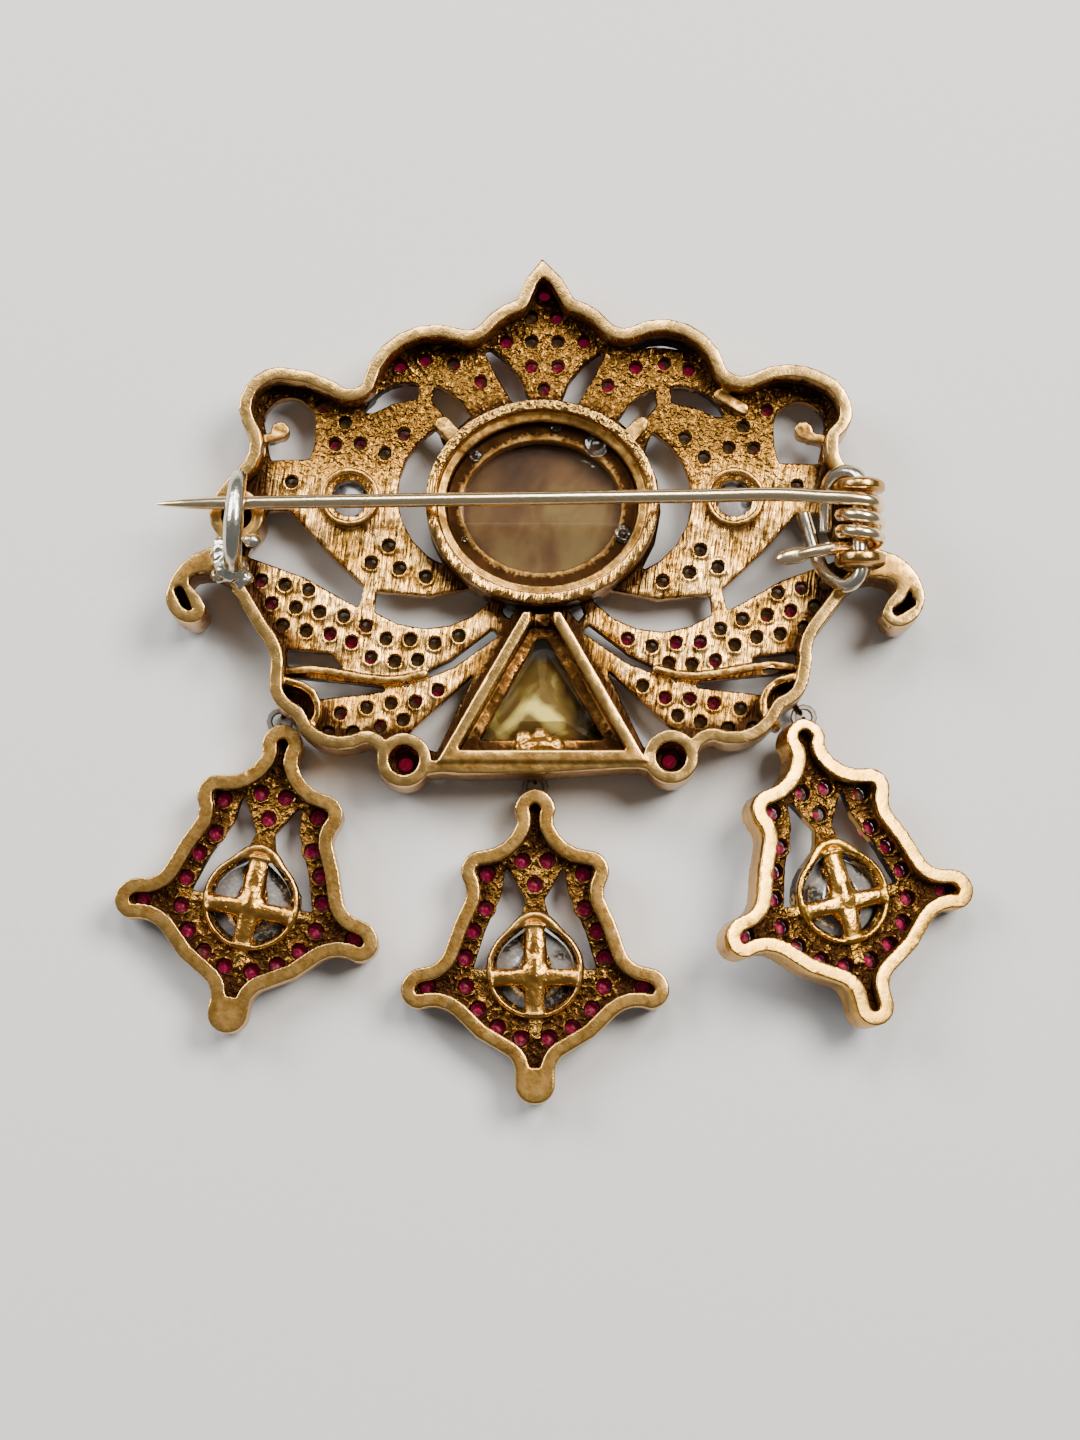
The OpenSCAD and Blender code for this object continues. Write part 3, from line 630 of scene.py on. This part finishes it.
class HeightMap:
    """The casting's height over a fine grid, for the painted shade in its recesses and the wear and painted highlight
    on its edges.
    """

    CELL = 0.15
    MARGIN = 4.0

    def __init__(self, points: Rows, ground: float) -> None:
        """Rasterises points.

        Args:
            points: The mesh's points in the casting's own axes, in millimetres.
            ground: The height that counts where the casting is pierced.
        """
        self.low = points[:, :2].min(0) - self.MARGIN
        size = np.ceil((points[:, :2].max(0) + self.MARGIN - self.low) / self.CELL).astype(int)
        self.grid = np.full(size, ground)
        column, row = self._cells(points)
        np.maximum.at(self.grid, (column, row), points[:, 2])
        self.solid = np.zeros(size, bool)
        self.solid[column, row] = True

    def _cells(self, points: Rows) -> tuple[Rows, Rows]:
        """The grid cell of each point."""
        index = ((points[:, :2] - self.low) / self.CELL).astype(int)
        return index[:, 0], index[:, 1]

    def covered(self, points: Rows) -> Rows:
        """Whether there is any of the casting over or under each point."""
        return self.solid[self._cells(points)]

    def blurred(self, points: Rows, radius: float) -> Rows:
        """The height round each point, averaged over some radius by three box blurs."""
        grid = self.grid
        reach = max(1, int(round(radius / self.CELL / 2)))
        for _ in range(3):
            for axis in (0, 1):
                turned = np.moveaxis(grid, axis, 0)
                total = np.cumsum(np.pad(turned, ((reach + 1, reach), (0, 0)), mode="edge"), 0)
                turned = (total[2 * reach + 1 :] - total[: -2 * reach - 1]) / (2 * reach + 1)
                grid = np.moveaxis(turned, 0, axis)
        return grid[self._cells(points)]


def nowhere(points: Rows) -> Rows:
    """Nothing at any point."""
    return np.zeros(len(points))


@dataclass
class Casting:
    """A CAD casting with its edges softened, as it comes from the mould.

    Attributes:
        rim_top: Height of the rims in the casting's own axes, and plate_top that of the plates.
        stones: The CAD nodes of the small stones, whose holes get a lip.
        depth: How far under its surroundings the metal counts as fully recessed.
        place: Where the casting's own axes lie, in millimetres.
        rosy: How much glaze there is at each point; dull, step_shade (painted shade on the bezels' steps) and lined
            work alike.
        extras: Makes more forms to be melted in, before shape rounds the points.
    """

    LUGS = (22.4, 6.9)  # the hinge's lugs lie beyond this x and above this z
    LIP_GAP, LIP_R = 0.12, 0.13

    node: str
    name: str
    finish: Finish
    rim_top: float
    plate_top: float
    stones: tuple[str, ...]
    hole_r: float
    voxel: float = 0.11
    faces: int = 190000
    depth: float = 1.8
    place: Matrix = field(default_factory=Matrix)
    rosy: Mask = nowhere
    dull: Mask = nowhere
    step_shade: Mask = nowhere
    lined: Mask = nowhere
    extras: Callable[[], list[Piece]] = list
    shape: Optional[Mask] = None

    def build(self, shop: Workshop, trim: Optional[Callable[[Piece], None]] = None) -> None:
        """Makes the softened casting.

        Args:
            shop: The workshop that dresses it.
            trim: A job that cuts away what another piece gives.
        """
        obj = Bench.merged_copy(self.node, self.name)
        extras = self.extras()
        for extra in extras:
            extra.data.transform(self.place)
        obj = joined(self.name, [obj, *self._lips(), *extras], self.voxel, 0)
        if trim:
            trim(obj)
        if self.shape:
            place = np.array(self.place)
            placed = self.shape(self._local(obj)) @ place[:3, :3].T + place[:3, 3]
            obj.data.vertices.foreach_set("co", placed.ravel())
            obj.data.update()
        Bench.soften(obj, 2)
        x, _, z = self._local(obj).T
        Bench.group(obj, "plates", z < self.plate_top + 0.5)
        Bench.group(obj, "lugs", (x > self.LUGS[0]) & (z > self.LUGS[1]))
        Bench.soften(obj, 8, "lugs")
        Bench.roughen(obj, 2.5, 0.04)
        Bench.roughen(obj, 0.55, 0.05, "plates")
        Bench.soften(obj, 1)
        heights = HeightMap(self._local(obj), self.plate_top)
        Bench.modify(obj, "DECIMATE", ratio=min(1.0, self.faces / (2.0 * len(obj.data.polygons))))
        self._mark(obj, heights)
        Bench.smooth(obj)
        shop.add(obj, self.finish, "gilt", replaced=(self.node,))

    def _lips(self) -> list[Piece]:
        """Makes the raised lip round each stone's hole, once, and copies it."""
        bpy.ops.object.select_all(action="DESELECT")
        bpy.ops.mesh.primitive_torus_add(
            major_radius=self.hole_r + self.LIP_GAP, minor_radius=self.LIP_R, major_segments=20, minor_segments=8
        )
        first = bpy.context.object
        turn = self.place.to_3x3().to_4x4()
        lips = []
        for node in self.stones:
            for centre in Bench.stone_centres(node, self.place):
                where = self.place @ Vector((centre.x, centre.y, self.plate_top - 0.02))
                lip = first.copy()
                lip.data = first.data.copy()
                lip.data.transform(Matrix.Translation(where) @ turn)
                bpy.context.scene.collection.objects.link(lip)
                lips.append(lip)
        bpy.data.objects.remove(first)
        return lips

    def _local(self, obj: Piece) -> Rows:
        """The piece's points in the casting's own axes."""
        back = np.array(self.place.inverted())
        return Bench.points(obj) @ back[:3, :3].T + back[:3, 3]

    def _mark(self, obj: Piece, heights: HeightMap) -> None:
        """Keeps on the points where the metal is deep, sharp, rubbed or ridged."""
        local = self._local(obj)
        z = local[:, 2]
        near, wide = heights.blurred(local, 0.5), heights.blurred(local, 2.2)
        normals = Bench.points(obj, "normal") @ np.array(self.place.inverted())[:3, :3].T
        # Steep faces count as walls, and as outer walls where no metal lies just ahead of them
        wall = np.clip(1.6 - 2.5 * np.abs(normals[:, 2]), 0, 1)
        ahead = [heights.covered(local + normals * reach) for reach in (0.7, 1.4)]
        outside = wall * ~(ahead[0] | ahead[1])
        # Painted shade on the steps inside the bezels, added to the recesses and taken off the edges
        step_shade = self.step_shade(local)
        values = {
            # recess: painted shade, from how far each point lies under the heights round it
            "recess": np.clip((wide - z) / self.depth + 0.12 + step_shade, 0, 1) * (1 - 0.85 * outside),
            # edge: raised edges, which get wear and a painted highlight
            "edge": np.clip((z - near) / 0.5, 0, 1) * (1 - np.clip(step_shade * 2.5, 0, 0.75)),
            "rubbed": np.clip((z - self.rim_top + 0.55) / 0.35, 0, 1),
            "ridged": np.maximum(np.clip((self.plate_top + 0.45 - z) / 0.2, 0, 1) * (1 - wall), self.lined(local)),
            "rosy": self.rosy(local),
            "dull": self.dull(local),
        }
        for name, value in values.items():
            layer = obj.data.attributes.new(name, "FLOAT", "POINT")
            layer.data.foreach_set("value", value.astype(np.float32))


def swept(
    name: str,
    points: Sequence[Point],
    radius: float,
    sides: int = 20,
    taper: Optional[Sequence[float]] = None,
    shift: Vector = SHIFT,
    loop: bool = False,
) -> Piece:
    """Sweeps a round wire through points given in the layout.

    Args:
        name: The piece's name.
        points: The wire's middle line, in millimetres.
        radius: The wire's radius.
        sides: Sides of the wire.
        taper: A factor on the radius at each point.
        shift: From the points' axes to the object's.
        loop: Whether the wire closes.

    Returns:
        The wire as a mesh, in millimetres.
    """
    curve = bpy.data.curves.new(name, "CURVE")
    curve.dimensions = "3D"
    curve.bevel_depth = radius
    curve.bevel_resolution = max(1, sides // 4 - 1)
    curve.use_fill_caps = True
    curve.resolution_u = 5
    spline = curve.splines.new("BEZIER")
    spline.bezier_points.add(len(points) - 1)
    for i, point in enumerate(points):
        knot = spline.bezier_points[i]
        knot.co = Vector(point) + shift
        knot.handle_left_type = knot.handle_right_type = "AUTO"
        knot.radius = taper[i] if taper else 1.0
    spline.use_cyclic_u = loop
    obj = bpy.data.objects.new(name, curve)
    bpy.context.scene.collection.objects.link(obj)
    Bench.only(obj)
    bpy.ops.object.convert(target="MESH")
    obj = bpy.context.object
    Bench.merge(obj, 1e-5, outward=True)
    return obj


def lump(name: str, centre: Point, size: Point, turn: float = 0.0, detail: int = 4, shift: Vector = SHIFT) -> Piece:
    """Makes a lump of solder or glue from a ball shaped in edit mode.

    Args:
        name: The piece's name.
        centre: Its middle in the layout, in millimetres.
        size: Its half lengths.
        turn: Turn about Z in degrees.
        detail: Subdivisions of the ball.
        shift: From the centre's axes to the object's.

    Returns:
        The lump, in millimetres.
    """
    bpy.ops.object.select_all(action="DESELECT")
    bpy.ops.mesh.primitive_ico_sphere_add(subdivisions=detail, radius=1.0)
    obj = bpy.context.object
    obj.name = obj.data.name = name
    bpy.ops.object.mode_set(mode="EDIT")
    bpy.ops.mesh.select_all(action="SELECT")
    bpy.ops.transform.resize(value=size)
    bpy.ops.object.mode_set(mode="OBJECT")
    obj.data.transform(Matrix.Translation(Vector(centre) + shift) @ Matrix.Rotation(math.radians(turn), 4, "Z"))
    return obj


def joined(name: str, parts: Sequence[Piece], voxel: float, soften: int) -> Piece:
    """Melts several closed parts into one.

    Args:
        name: The result's name.
        parts: The parts, in millimetres.
        voxel: How fine the melt is.
        soften: Rounds of smoothing.

    Returns:
        The piece.
    """
    obj = Bench.join(parts)
    obj.name = obj.data.name = name
    Bench.modify(obj, "REMESH", mode="VOXEL", voxel_size=voxel, adaptivity=0.0)
    Bench.soften(obj, soften)
    return obj


@dataclass
class Catch:
    """The catch: a wire arch soldered to the rim, open by some degrees at its tip."""

    foot: tuple[float, float] = (-24.5, -5.0)
    tip: tuple[float, float] = (-23.95, 2.5)
    base: float = 6.5
    rise: float = 2.9
    radius: float = 0.74
    opening: float = 30.0
    steps: int = 14
    plain_hook: tuple[Point, Point] = ((-26.2, -6.9, 6.5), (-22.2, 4.2, 12.0))
    solder: tuple[tuple[Point, Point], ...] = (
        ((-24.7, -5.2, 6.3), (1.4, 1.15, 0.95)), ((-25.6, -4.0, 6.15), (0.8, 1.6, 0.6)),
        ((-23.9, -5.9, 6.1), (0.95, 0.8, 0.65)), ((-23.1, -2.9, 6.2), (0.75, 0.6, 0.45)),
        ((-25.6, -5.7, 6.1), (0.9, 0.6, 0.45)), ((-24.1, -6.7, 5.9), (0.6, 0.6, 0.4)),
    )

    def trim(self, obj: Piece) -> None:
        """Takes the plain hook off the casting, which this one replaces."""
        Bench.only(obj)
        low, high = (Vector(corner) + SHIFT for corner in self.plain_hook)
        for polygon in obj.data.polygons:
            c = polygon.center
            polygon.select = low.x < c.x < high.x and low.y < c.y < high.y and c.z > low.z
        bpy.ops.object.mode_set(mode="EDIT")
        bpy.ops.mesh.select_mode(type="FACE")
        bpy.ops.mesh.delete(type="FACE")
        bpy.ops.mesh.select_all(action="SELECT")
        bpy.ops.mesh.fill_holes(sides=0)
        bpy.ops.object.mode_set(mode="OBJECT")

    def build(self, shop: Workshop) -> None:
        """Makes the hook and the solder round its foot."""
        middle = [(a + b) / 2 for a, b in zip(self.foot, self.tip)]
        half = [(b - a) / 2 for a, b in zip(self.foot, self.tip)]
        points = [(*self.foot, self.base - 1.2)]
        for i in range(self.steps + 1):
            angle = math.pi - math.radians(180.0 - self.opening) * i / self.steps
            points.append((
                middle[0] + half[0] * math.cos(angle),
                middle[1] + half[1] * math.cos(angle),
                self.base + self.rise * math.sin(angle),
            ))
        swell = [0.9 + 0.16 * math.sin(math.pi * i / (len(points) - 1)) for i in range(len(points))]
        parts = [swept("catch_hook", points, self.radius, 24, swell)]
        parts += [lump("solder", centre, size, detail=3) for centre, size in self.solder]
        hook = joined("catch_hook", parts, 0.09, 3)
        Bench.roughen(hook, 1.5, 0.05)
        Bench.group(hook, "base", Bench.points(hook)[:, 2] < self.base + 0.9)
        Bench.roughen(hook, 0.5, 0.22, "base")
        Bench.smooth(hook)
        shop.add(hook, Finish.SOLDERED, "gilt")


@dataclass
class PinWire:
    """The pin: a pointed stem, the coil round the axle and the tail."""

    radius: float = 0.55
    left: Point = (-24.3, -0.12, 7.7)
    right: Point = (19.0, 0.1, 9.83)
    point_length: float = 6.3
    axis: tuple[float, float] = HINGE
    coil_r: float = 1.45
    pitch: float = 1.32
    start_y: float = -0.27
    turns: float = 2.5
    stem_steps: int = 7
    coil_steps: int = 40

    def line(self) -> tuple[list[Point], list[float]]:
        """The wire's middle line and the taper along it."""
        a, b = Vector(self.left), Vector(self.right)
        way = (b - a).normalized()
        tip = a - way * self.point_length
        points: list[Vector] = [tip, tip + way * 0.6, tip + way * 2.2, tip + way * 4.2, a]
        sharp, thicker, flat = [0.13, 0.4, 0.74, 0.92, 1.0], [1.03] * self.stem_steps, [0.85, 0.5]
        for i in range(1, self.stem_steps + 1):
            points.append(a + (b - a) * (i / self.stem_steps))
        points.append(Vector((22.0, -0.1, self.axis[1] + self.coil_r - 0.02)))
        for i in range(self.coil_steps + 1):
            turned = self.turns * i / self.coil_steps
            angle = math.radians(90 - 360 * turned)
            points.append(Vector((
                self.axis[0] + self.coil_r * math.cos(angle),
                self.start_y - self.pitch * turned,
                self.axis[1] + self.coil_r * math.sin(angle),
            )))
        foot = self.axis[1] - self.coil_r
        points += [Vector(p) for p in ((22.9, -3.7, foot + 0.1), (21.2, -4.02, foot + 0.2), (19.6, -4.38, foot + 0.1))]
        even = [1.0] * (len(points) - len(sharp) - len(thicker) - len(flat))
        return [tuple(p) for p in points], sharp + thicker + even + flat

    def build(self, shop: Workshop) -> None:
        """Makes the pin, with the end of its tail beaten flat and round."""
        points, taper = self.line()
        wire = swept("pin_wire_round", points, self.radius, 24, taper)
        paddle = lump("pin_paddle", (19.95, -4.3, self.axis[1] - self.coil_r + 0.1), (1.45, 0.66, 0.4), 11.0)
        wire = Bench.join([wire, paddle])
        Bench.smooth(wire, 60)
        shop.add(wire, Finish.PIN_WIRE, "pin_metal", PIN, ("pin_wire",))


@dataclass
class AxleLoop:
    """The silver wire that is bent into the hinge's axle."""

    radius: float = 0.6
    axis: tuple[float, float] = HINGE

    def build(self, shop: Workshop) -> None:
        """Makes the loop, from its foot on the plate round the coil and back."""
        x, z = self.axis
        points = [
            (20.95, -0.5, 5.1), (21.4, -2.2, 5.15), (21.9, -3.9, 5.3), (22.4, -5.2, 5.9), (23.1, -6.1, 6.7),
            (24.0, -6.75, z - 0.8), (24.75, -6.45, z - 0.2), (x, -5.7, z), (x, -4.6, z), (x, -1.5, z), (x, 1.3, z),
            (24.95, 1.9, z - 0.1), (24.45, 2.25, z - 0.45), (23.7, 2.35, 7.45), (23.0, 1.9, 6.6),
            (22.8, 0.9, 5.6), (22.75, -0.5, 5.15), (22.7, -1.9, 5.05),
        ]
        wire = swept("axle_loop", points, self.radius, 20)
        Bench.roughen(wire, 1.2, 0.06)
        Bench.smooth(wire, 50)
        shop.add(wire, Finish.AXLE_WIRE, "silver", BROOCH, ("hinge_loop",))


@dataclass
class Repairs:
    """Glue and solder that the setter left: bubbles, a clear drop and a gilt spill."""

    bubbles: tuple[tuple[Point, float], ...] = (
        ((4.37, 5.3, 4.6), 0.95), ((1.14, 6.75, 4.55), 0.45), ((-5.35, 4.4, 4.55), 0.48), ((6.5, -2.0, 4.6), 0.7),
        ((-6.2, -2.4, 4.5), 0.26),
    )
    drop: tuple[Point, Point] = ((0.45, -14.9, 3.95), (4.5, 4.3, 0.98))
    spill: tuple[tuple[Point, Point, float], ...] = (
        ((-0.4, -19.3, 4.9), (1.7, 0.8, 0.8), 8.0), ((0.9, -19.1, 4.9), (1.1, 0.7, 0.7), -25.0),
        ((-1.4, -18.9, 4.8), (0.8, 1.0, 0.55), 0.0), ((0.0, -19.8, 5.4), (1.3, 0.5, 0.9), 0.0),
        ((1.5, -19.7, 5.0), (0.5, 0.9, 0.6), 30.0), ((-0.1, -18.5, 4.8), (0.6, 0.8, 0.4), 10.0),
    )

    def build(self, shop: Workshop) -> None:
        """Makes the glue and the spill."""
        parts = []
        for (x, y, z), r in self.bubbles:
            parts.append(lump("bubble", (x, y, z), (r * 0.55, r * 0.55, r * 0.6), detail=3))
            ring = [(x + r * 0.82 * math.cos(a), y + r * 0.82 * math.sin(a), z) for a in np.radians(range(0, 360, 45))]
            parts.append(swept("bubble_ring", ring, r * 0.23, 12, loop=True))
        glue = joined("glue_bubbles", parts, 0.06, 1)
        Bench.smooth(glue)
        shop.add(glue, Finish.BUBBLE, "clear_stone")
        blob = lump("glue_drop", *self.drop, 20.0, 5)
        Bench.roughen(blob, 4.0, 0.2)
        Bench.smooth(blob)
        shop.add(blob, Finish.GLUE, "clear_stone")
        gilt = joined("gilt_spill", [lump("spill", *sizes, 3) for sizes in self.spill], 0.09, 2)
        Bench.roughen(gilt, 0.45, 0.3)
        Bench.smooth(gilt)
        shop.add(gilt, Finish.GILT, "gilt")


@dataclass
class Stones:
    """The set stones, which keep the CAD's cuts."""

    smoky: tuple[str, ...] = ("crescent", "lower", "bottom")

    def build(self, shop: Workshop) -> None:
        """Gives every stone its finish."""
        finishes = {"collet_stones": Finish.RUBY, "pave_crown": Finish.RUBY}
        finishes |= {"centre_cabochon": Finish.OVAL, "triangle_stone": Finish.TRIANGLE}
        for side in SIDES:
            finishes[f"side_stone_{side}"] = Finish.CLEAR
            for name in FIELDS:
                finishes[f"pave_{name}_{side}"] = Finish.SMOKY if name in self.smoky else Finish.RUBY
        for side in DROP_PLACES:
            finishes |= {f"link_{side}": Finish.LINK, f"drop_stone_{side}": Finish.SHADED}
            finishes[f"drop_pave_{side}"] = Finish.WINE
        for name, finish in finishes.items():
            shop.dress(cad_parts[name], finish)


@dataclass
class Studio:
    """Camera, light and floor."""

    target: Point = (-0.16, -16.84, 3.0)
    elevation: float = 82.0
    distance: float = 255.0
    lens: float = 106.25
    floor_r: float = 1.5

    def camera(self) -> None:
        """Sets the camera at the photograph's angle."""
        rise = math.radians(self.elevation)
        look = Vector((0, math.cos(rise), -math.sin(rise)))
        up = Vector((0, math.sin(rise), math.cos(rise)))
        data = bpy.data.cameras.new("photo_camera")
        data.sensor_fit = "HORIZONTAL"
        data.sensor_width = 36.0
        data.lens = self.lens
        data.clip_start = 0.01
        camera = bpy.data.objects.new("photo_camera", data)
        bpy.context.scene.collection.objects.link(camera)
        axes = Matrix((Vector((1, 0, 0)), up, -look)).transposed().to_4x4()
        target = Vector(self.target) + SHIFT
        camera.matrix_world = Matrix.Translation((target - look * self.distance) * MM) @ axes
        bpy.context.scene.camera = camera

    def lamp(self, name: str, place: Point, size: float, power: float, colour: Colour = (1, 1, 1)) -> None:
        """Adds a soft lamp that faces the brooch, with its place in metres."""
        data = bpy.data.lights.new(name, "AREA")
        data.shape = "DISK"
        data.size = size
        data.energy = power
        data.color = colour
        lamp = bpy.data.objects.new(name, data)
        bpy.context.scene.collection.objects.link(lamp)
        lamp.location = place
        lamp.rotation_euler = (-Vector(place)).to_track_quat("-Z", "Y").to_euler()

    def build(self, shop: Workshop) -> None:
        """Sets up the studio."""
        self.camera()
        self.lamp("key", (0.24, 0.16, 0.42), 0.24, 4.6, (1.0, 0.97, 0.93))
        self.lamp("fill", (-0.32, 0.20, 0.32), 0.26, 2.4, (0.97, 0.98, 1.0))
        self.lamp("high", (-0.02, 0.30, 0.42), 0.2, 1.6)
        world = bpy.data.worlds.new("studio")
        world.use_nodes = True
        sky = world.node_tree.nodes["Background"]
        sky.inputs["Color"].default_value = (0.9, 0.92, 0.95, 1)
        sky.inputs["Strength"].default_value = 0.2
        bpy.context.scene.world = world
        bpy.ops.object.select_all(action="DESELECT")
        bpy.ops.mesh.primitive_circle_add(vertices=96, radius=self.floor_r, fill_type="NGON")
        floor = bpy.context.object
        floor.name = "paper_floor"
        shop.dress(floor, Finish.FLOOR)


@dataclass(frozen=True)
class BroochForms:
    """Where the brooch's casting is round, glazed, painted with shade on its bezels' steps, filed or dull, in the
    layout.

    Attributes:
        oval_half: Half lengths of the oval bezel's opening, whose middle is at oval_y.
        apex: The opening at the triangular bezel's top: lowest y, highest y, half width.
        knuckles: Each knuckle's lowest and highest y, and the side that swells.
    """

    oval_y: float = 0.3
    oval_half: tuple[float, float] = (8.15, 7.35)
    bezel_top: float = 6.35
    apex: Point = (-10.4, -8.3, 1.2)
    knuckles: tuple[tuple[float, float, int], ...] = ((0.4, 1.4, 1), (-5.35, -4.25, -1))
    knuckle_r: float = 2.3

    @staticmethod
    def _layout(points: Rows) -> Rows:
        """The points' x, y and z in the layout, as three rows."""
        return (points - np.array(SHIFT)).T.copy()

    def _oval(self, x: Rows, y: Rows) -> Rows:
        """How far out each point lies, with 1 on the edge of the oval bezel's opening."""
        return np.hypot(x / self.oval_half[0], (y - self.oval_y) / self.oval_half[1])

    def _in_triangle(self, points: Rows) -> Rows:
        """Which points lie inside the triangular bezel."""
        x, y, z = self._layout(points)
        half = 1.0 + (-9.6 - y) * 0.53
        return (np.abs(x) < half) & (y < -9.0) & (y > -19.9) & (z < 5.6)

    def glaze(self, points: Rows) -> Rows:
        """How rosy each point is: inside the triangle and on the hinge's knuckles."""
        x, _, z = self._layout(points)
        knuckles = (np.hypot(x - HINGE[0], z - HINGE[1]) < self.knuckle_r) & (z > 6.9)
        return np.maximum(np.where(self._in_triangle(points), 0.9, 0.0), np.where(knuckles, 0.3, 0.0))

    def step_shade(self, points: Rows) -> Rows:
        """How much painted shade darkens the steps inside the two large bezels at each point."""
        x, y, z = self._layout(points)
        oval = np.clip((1.03 - self._oval(x, y)) / 0.05, 0, 1) * np.clip((6.3 - z) / 0.3, 0, 1)
        walls = np.clip((z - 4.75) / 0.2, 0, 1)
        return oval * (0.36 + walls * 0.15) + self._in_triangle(points) * (0.2 + walls * 0.5)

    def filed(self, points: Rows) -> Rows:
        """How clearly the file's marks show at each point: on the oval bezel's flat top."""
        x, y, z = self._layout(points)
        out = self._oval(x, y)
        return np.where((out > 1.01) & (out < 1.2) & (z > self.bezel_top), 0.6, 0.0)

    def dull(self, points: Rows) -> Rows:
        """How dull and beaten the plates are at each point: more towards the crown."""
        return np.clip((points[:, 1] - SHIFT.y - 1.5) / 5.0, 0, 1)

    def rounded(self, points: Rows) -> Rows:
        """Rounds the hinge's knuckles and opens the triangular bezel at its top."""
        x, y, z = self._layout(points)
        reach = np.hypot(x - HINGE[0], z - HINGE[1])
        shrink = np.sqrt(1 - 0.85 * np.clip((reach - 1.0) / 1.1, 0, 1) ** 2)
        for low, high, away in self.knuckles:
            middle = (low + high) / 2
            near = (np.abs(y - middle) < (high - low) / 2 + 0.12) & (reach < self.knuckle_r) & (z > 6.75)
            swell = np.where((y - middle) * away > 0, 1.45, 1.0)
            y = np.where(near, middle + (y - middle) * shrink * swell, y)
        opening = (y > self.apex[0]) & (y < self.apex[1]) & (np.abs(x) < self.apex[2])
        z = np.where(opening, np.minimum(z, 4.9 + np.clip((np.abs(x) - 0.7) / 0.25, 0, 1) * 2.0), z)
        return np.column_stack((x, y, z)) + np.array(SHIFT)


@dataclass(frozen=True)
class DropForms:
    """The pear bezel of a drop and the cage behind its stone, in the drop's own axes.

    Each bar has its middle, from the pear's, and its half lengths.
    """

    pear_y: float = -12.75
    pear_r: float = 3.5
    tip: float = 4.55
    edge_z: float = 2.15
    edge_r: float = 0.4
    edge_steps: int = 16
    bars: tuple[tuple[Point, Point], ...] = (
        ((0.0, 0.0, 2.05), (1.05, 3.9, 0.75)), ((0.0, -0.55, 2.0), (3.6, 0.78, 0.6)),
        ((0.05, 0.1, 2.15), (1.25, 1.9, 0.8)), ((-0.15, 2.3, 2.2), (1.05, 1.1, 0.5)),
    )

    @staticmethod
    def place(side: str) -> Matrix:
        """Where a drop lies, in millimetres."""
        place, turn, roll = DROP_PLACES[side]
        spin = Matrix.Rotation(math.radians(turn), 4, "Z") @ Matrix.Rotation(math.radians(roll), 4, "Y")
        return Matrix.Translation(Vector(place) + SHIFT) @ spin

    def cage(self) -> list[Piece]:
        """Models the rounded bars behind the stone and the rolled edge of the bezel."""
        here = Vector()
        parts = [
            lump("bar", (x, self.pear_y + y, z), size, detail=3, shift=here) for (x, y, z), size in self.bars
        ]
        cut = math.degrees(math.acos(self.pear_r / self.tip))
        outline = []
        for i in range(self.edge_steps + 1):
            angle = math.radians(90 + cut + (360 - 2 * cut) * i / self.edge_steps)
            x, y = self.pear_r * math.cos(angle), self.pear_y + self.pear_r * math.sin(angle)
            outline.append((x, y, self.edge_z))
        outline.append((0.0, self.pear_y + self.tip - 0.2, self.edge_z))
        parts.append(swept("bezel_edge", outline, self.edge_r, 12, shift=here, loop=True))
        return parts

    def rounded(self, points: Rows) -> Rows:
        """Rounds the bars of the cage and domes them over the stone."""
        x, y, z = points.T.copy()
        across = np.minimum(np.abs(x) / 0.95, np.abs(y - self.pear_y + 0.55) / 0.8)
        centre = np.hypot(x / 1.45, (y - self.pear_y + 0.45) / 1.4)
        across = np.clip(np.minimum(across, centre), 0, 1)
        reach = np.hypot(x, y - self.pear_y) / 3.7
        inside = (z > 1.85) & (reach < 0.93)
        top = 1.95 + 0.95 * np.sqrt(1 - across**2) - 0.35 * reach**2
        return np.column_stack((x, y, np.where(inside, np.minimum(z, top), z)))

    def glaze(self, points: Rows) -> Rows:
        """How rosy the cage is at each point."""
        x, y, z = points.T
        return np.where((np.hypot(x, y - self.pear_y) < 3.1) & (z > 1.8), 1.0, 0.0)

    def dull(self, points: Rows) -> Rows:
        """How dull and beaten the plates are: everywhere alike."""
        return np.ones(len(points))


def main() -> None:
    """Builds every piece in order."""
    logging.basicConfig(level=logging.INFO, format="%(message)s")
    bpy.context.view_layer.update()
    shop = Workshop()
    Studio().build(shop)
    catch, forms, drop = Catch(), BroochForms(), DropForms()
    fields = ("pave_crown", *(f"pave_{name}_{side}" for name in FIELDS for side in SIDES))
    Casting(
        "brooch_frame", "brooch_casting", Finish.GILT, 6.3, 3.5, fields, 0.52, rosy=forms.glaze,
        dull=forms.dull, step_shade=forms.step_shade, lined=forms.filed, shape=forms.rounded,
    ).build(shop, catch.trim)
    for side in DROP_PLACES:
        # The right drop, tilted towards the key lamp, takes the lit copy of the gilt
        finish = Finish.LIT_DROP_GILT if side == "right" else Finish.DROP_GILT
        Casting(
            f"drop_frame_{side}", f"drop_casting_{side}", finish, 3.0, 1.75, (f"drop_pave_{side}",), 0.62,
            voxel=0.1, faces=90000, depth=0.85, place=drop.place(side), rosy=drop.glaze, dull=drop.dull,
            extras=drop.cage, shape=drop.rounded,
        ).build(shop)
    catch.build(shop)
    PinWire().build(shop)
    AxleLoop().build(shop)
    Repairs().build(shop)
    Stones().build(shop)


if __name__ == "__main__":
    main()
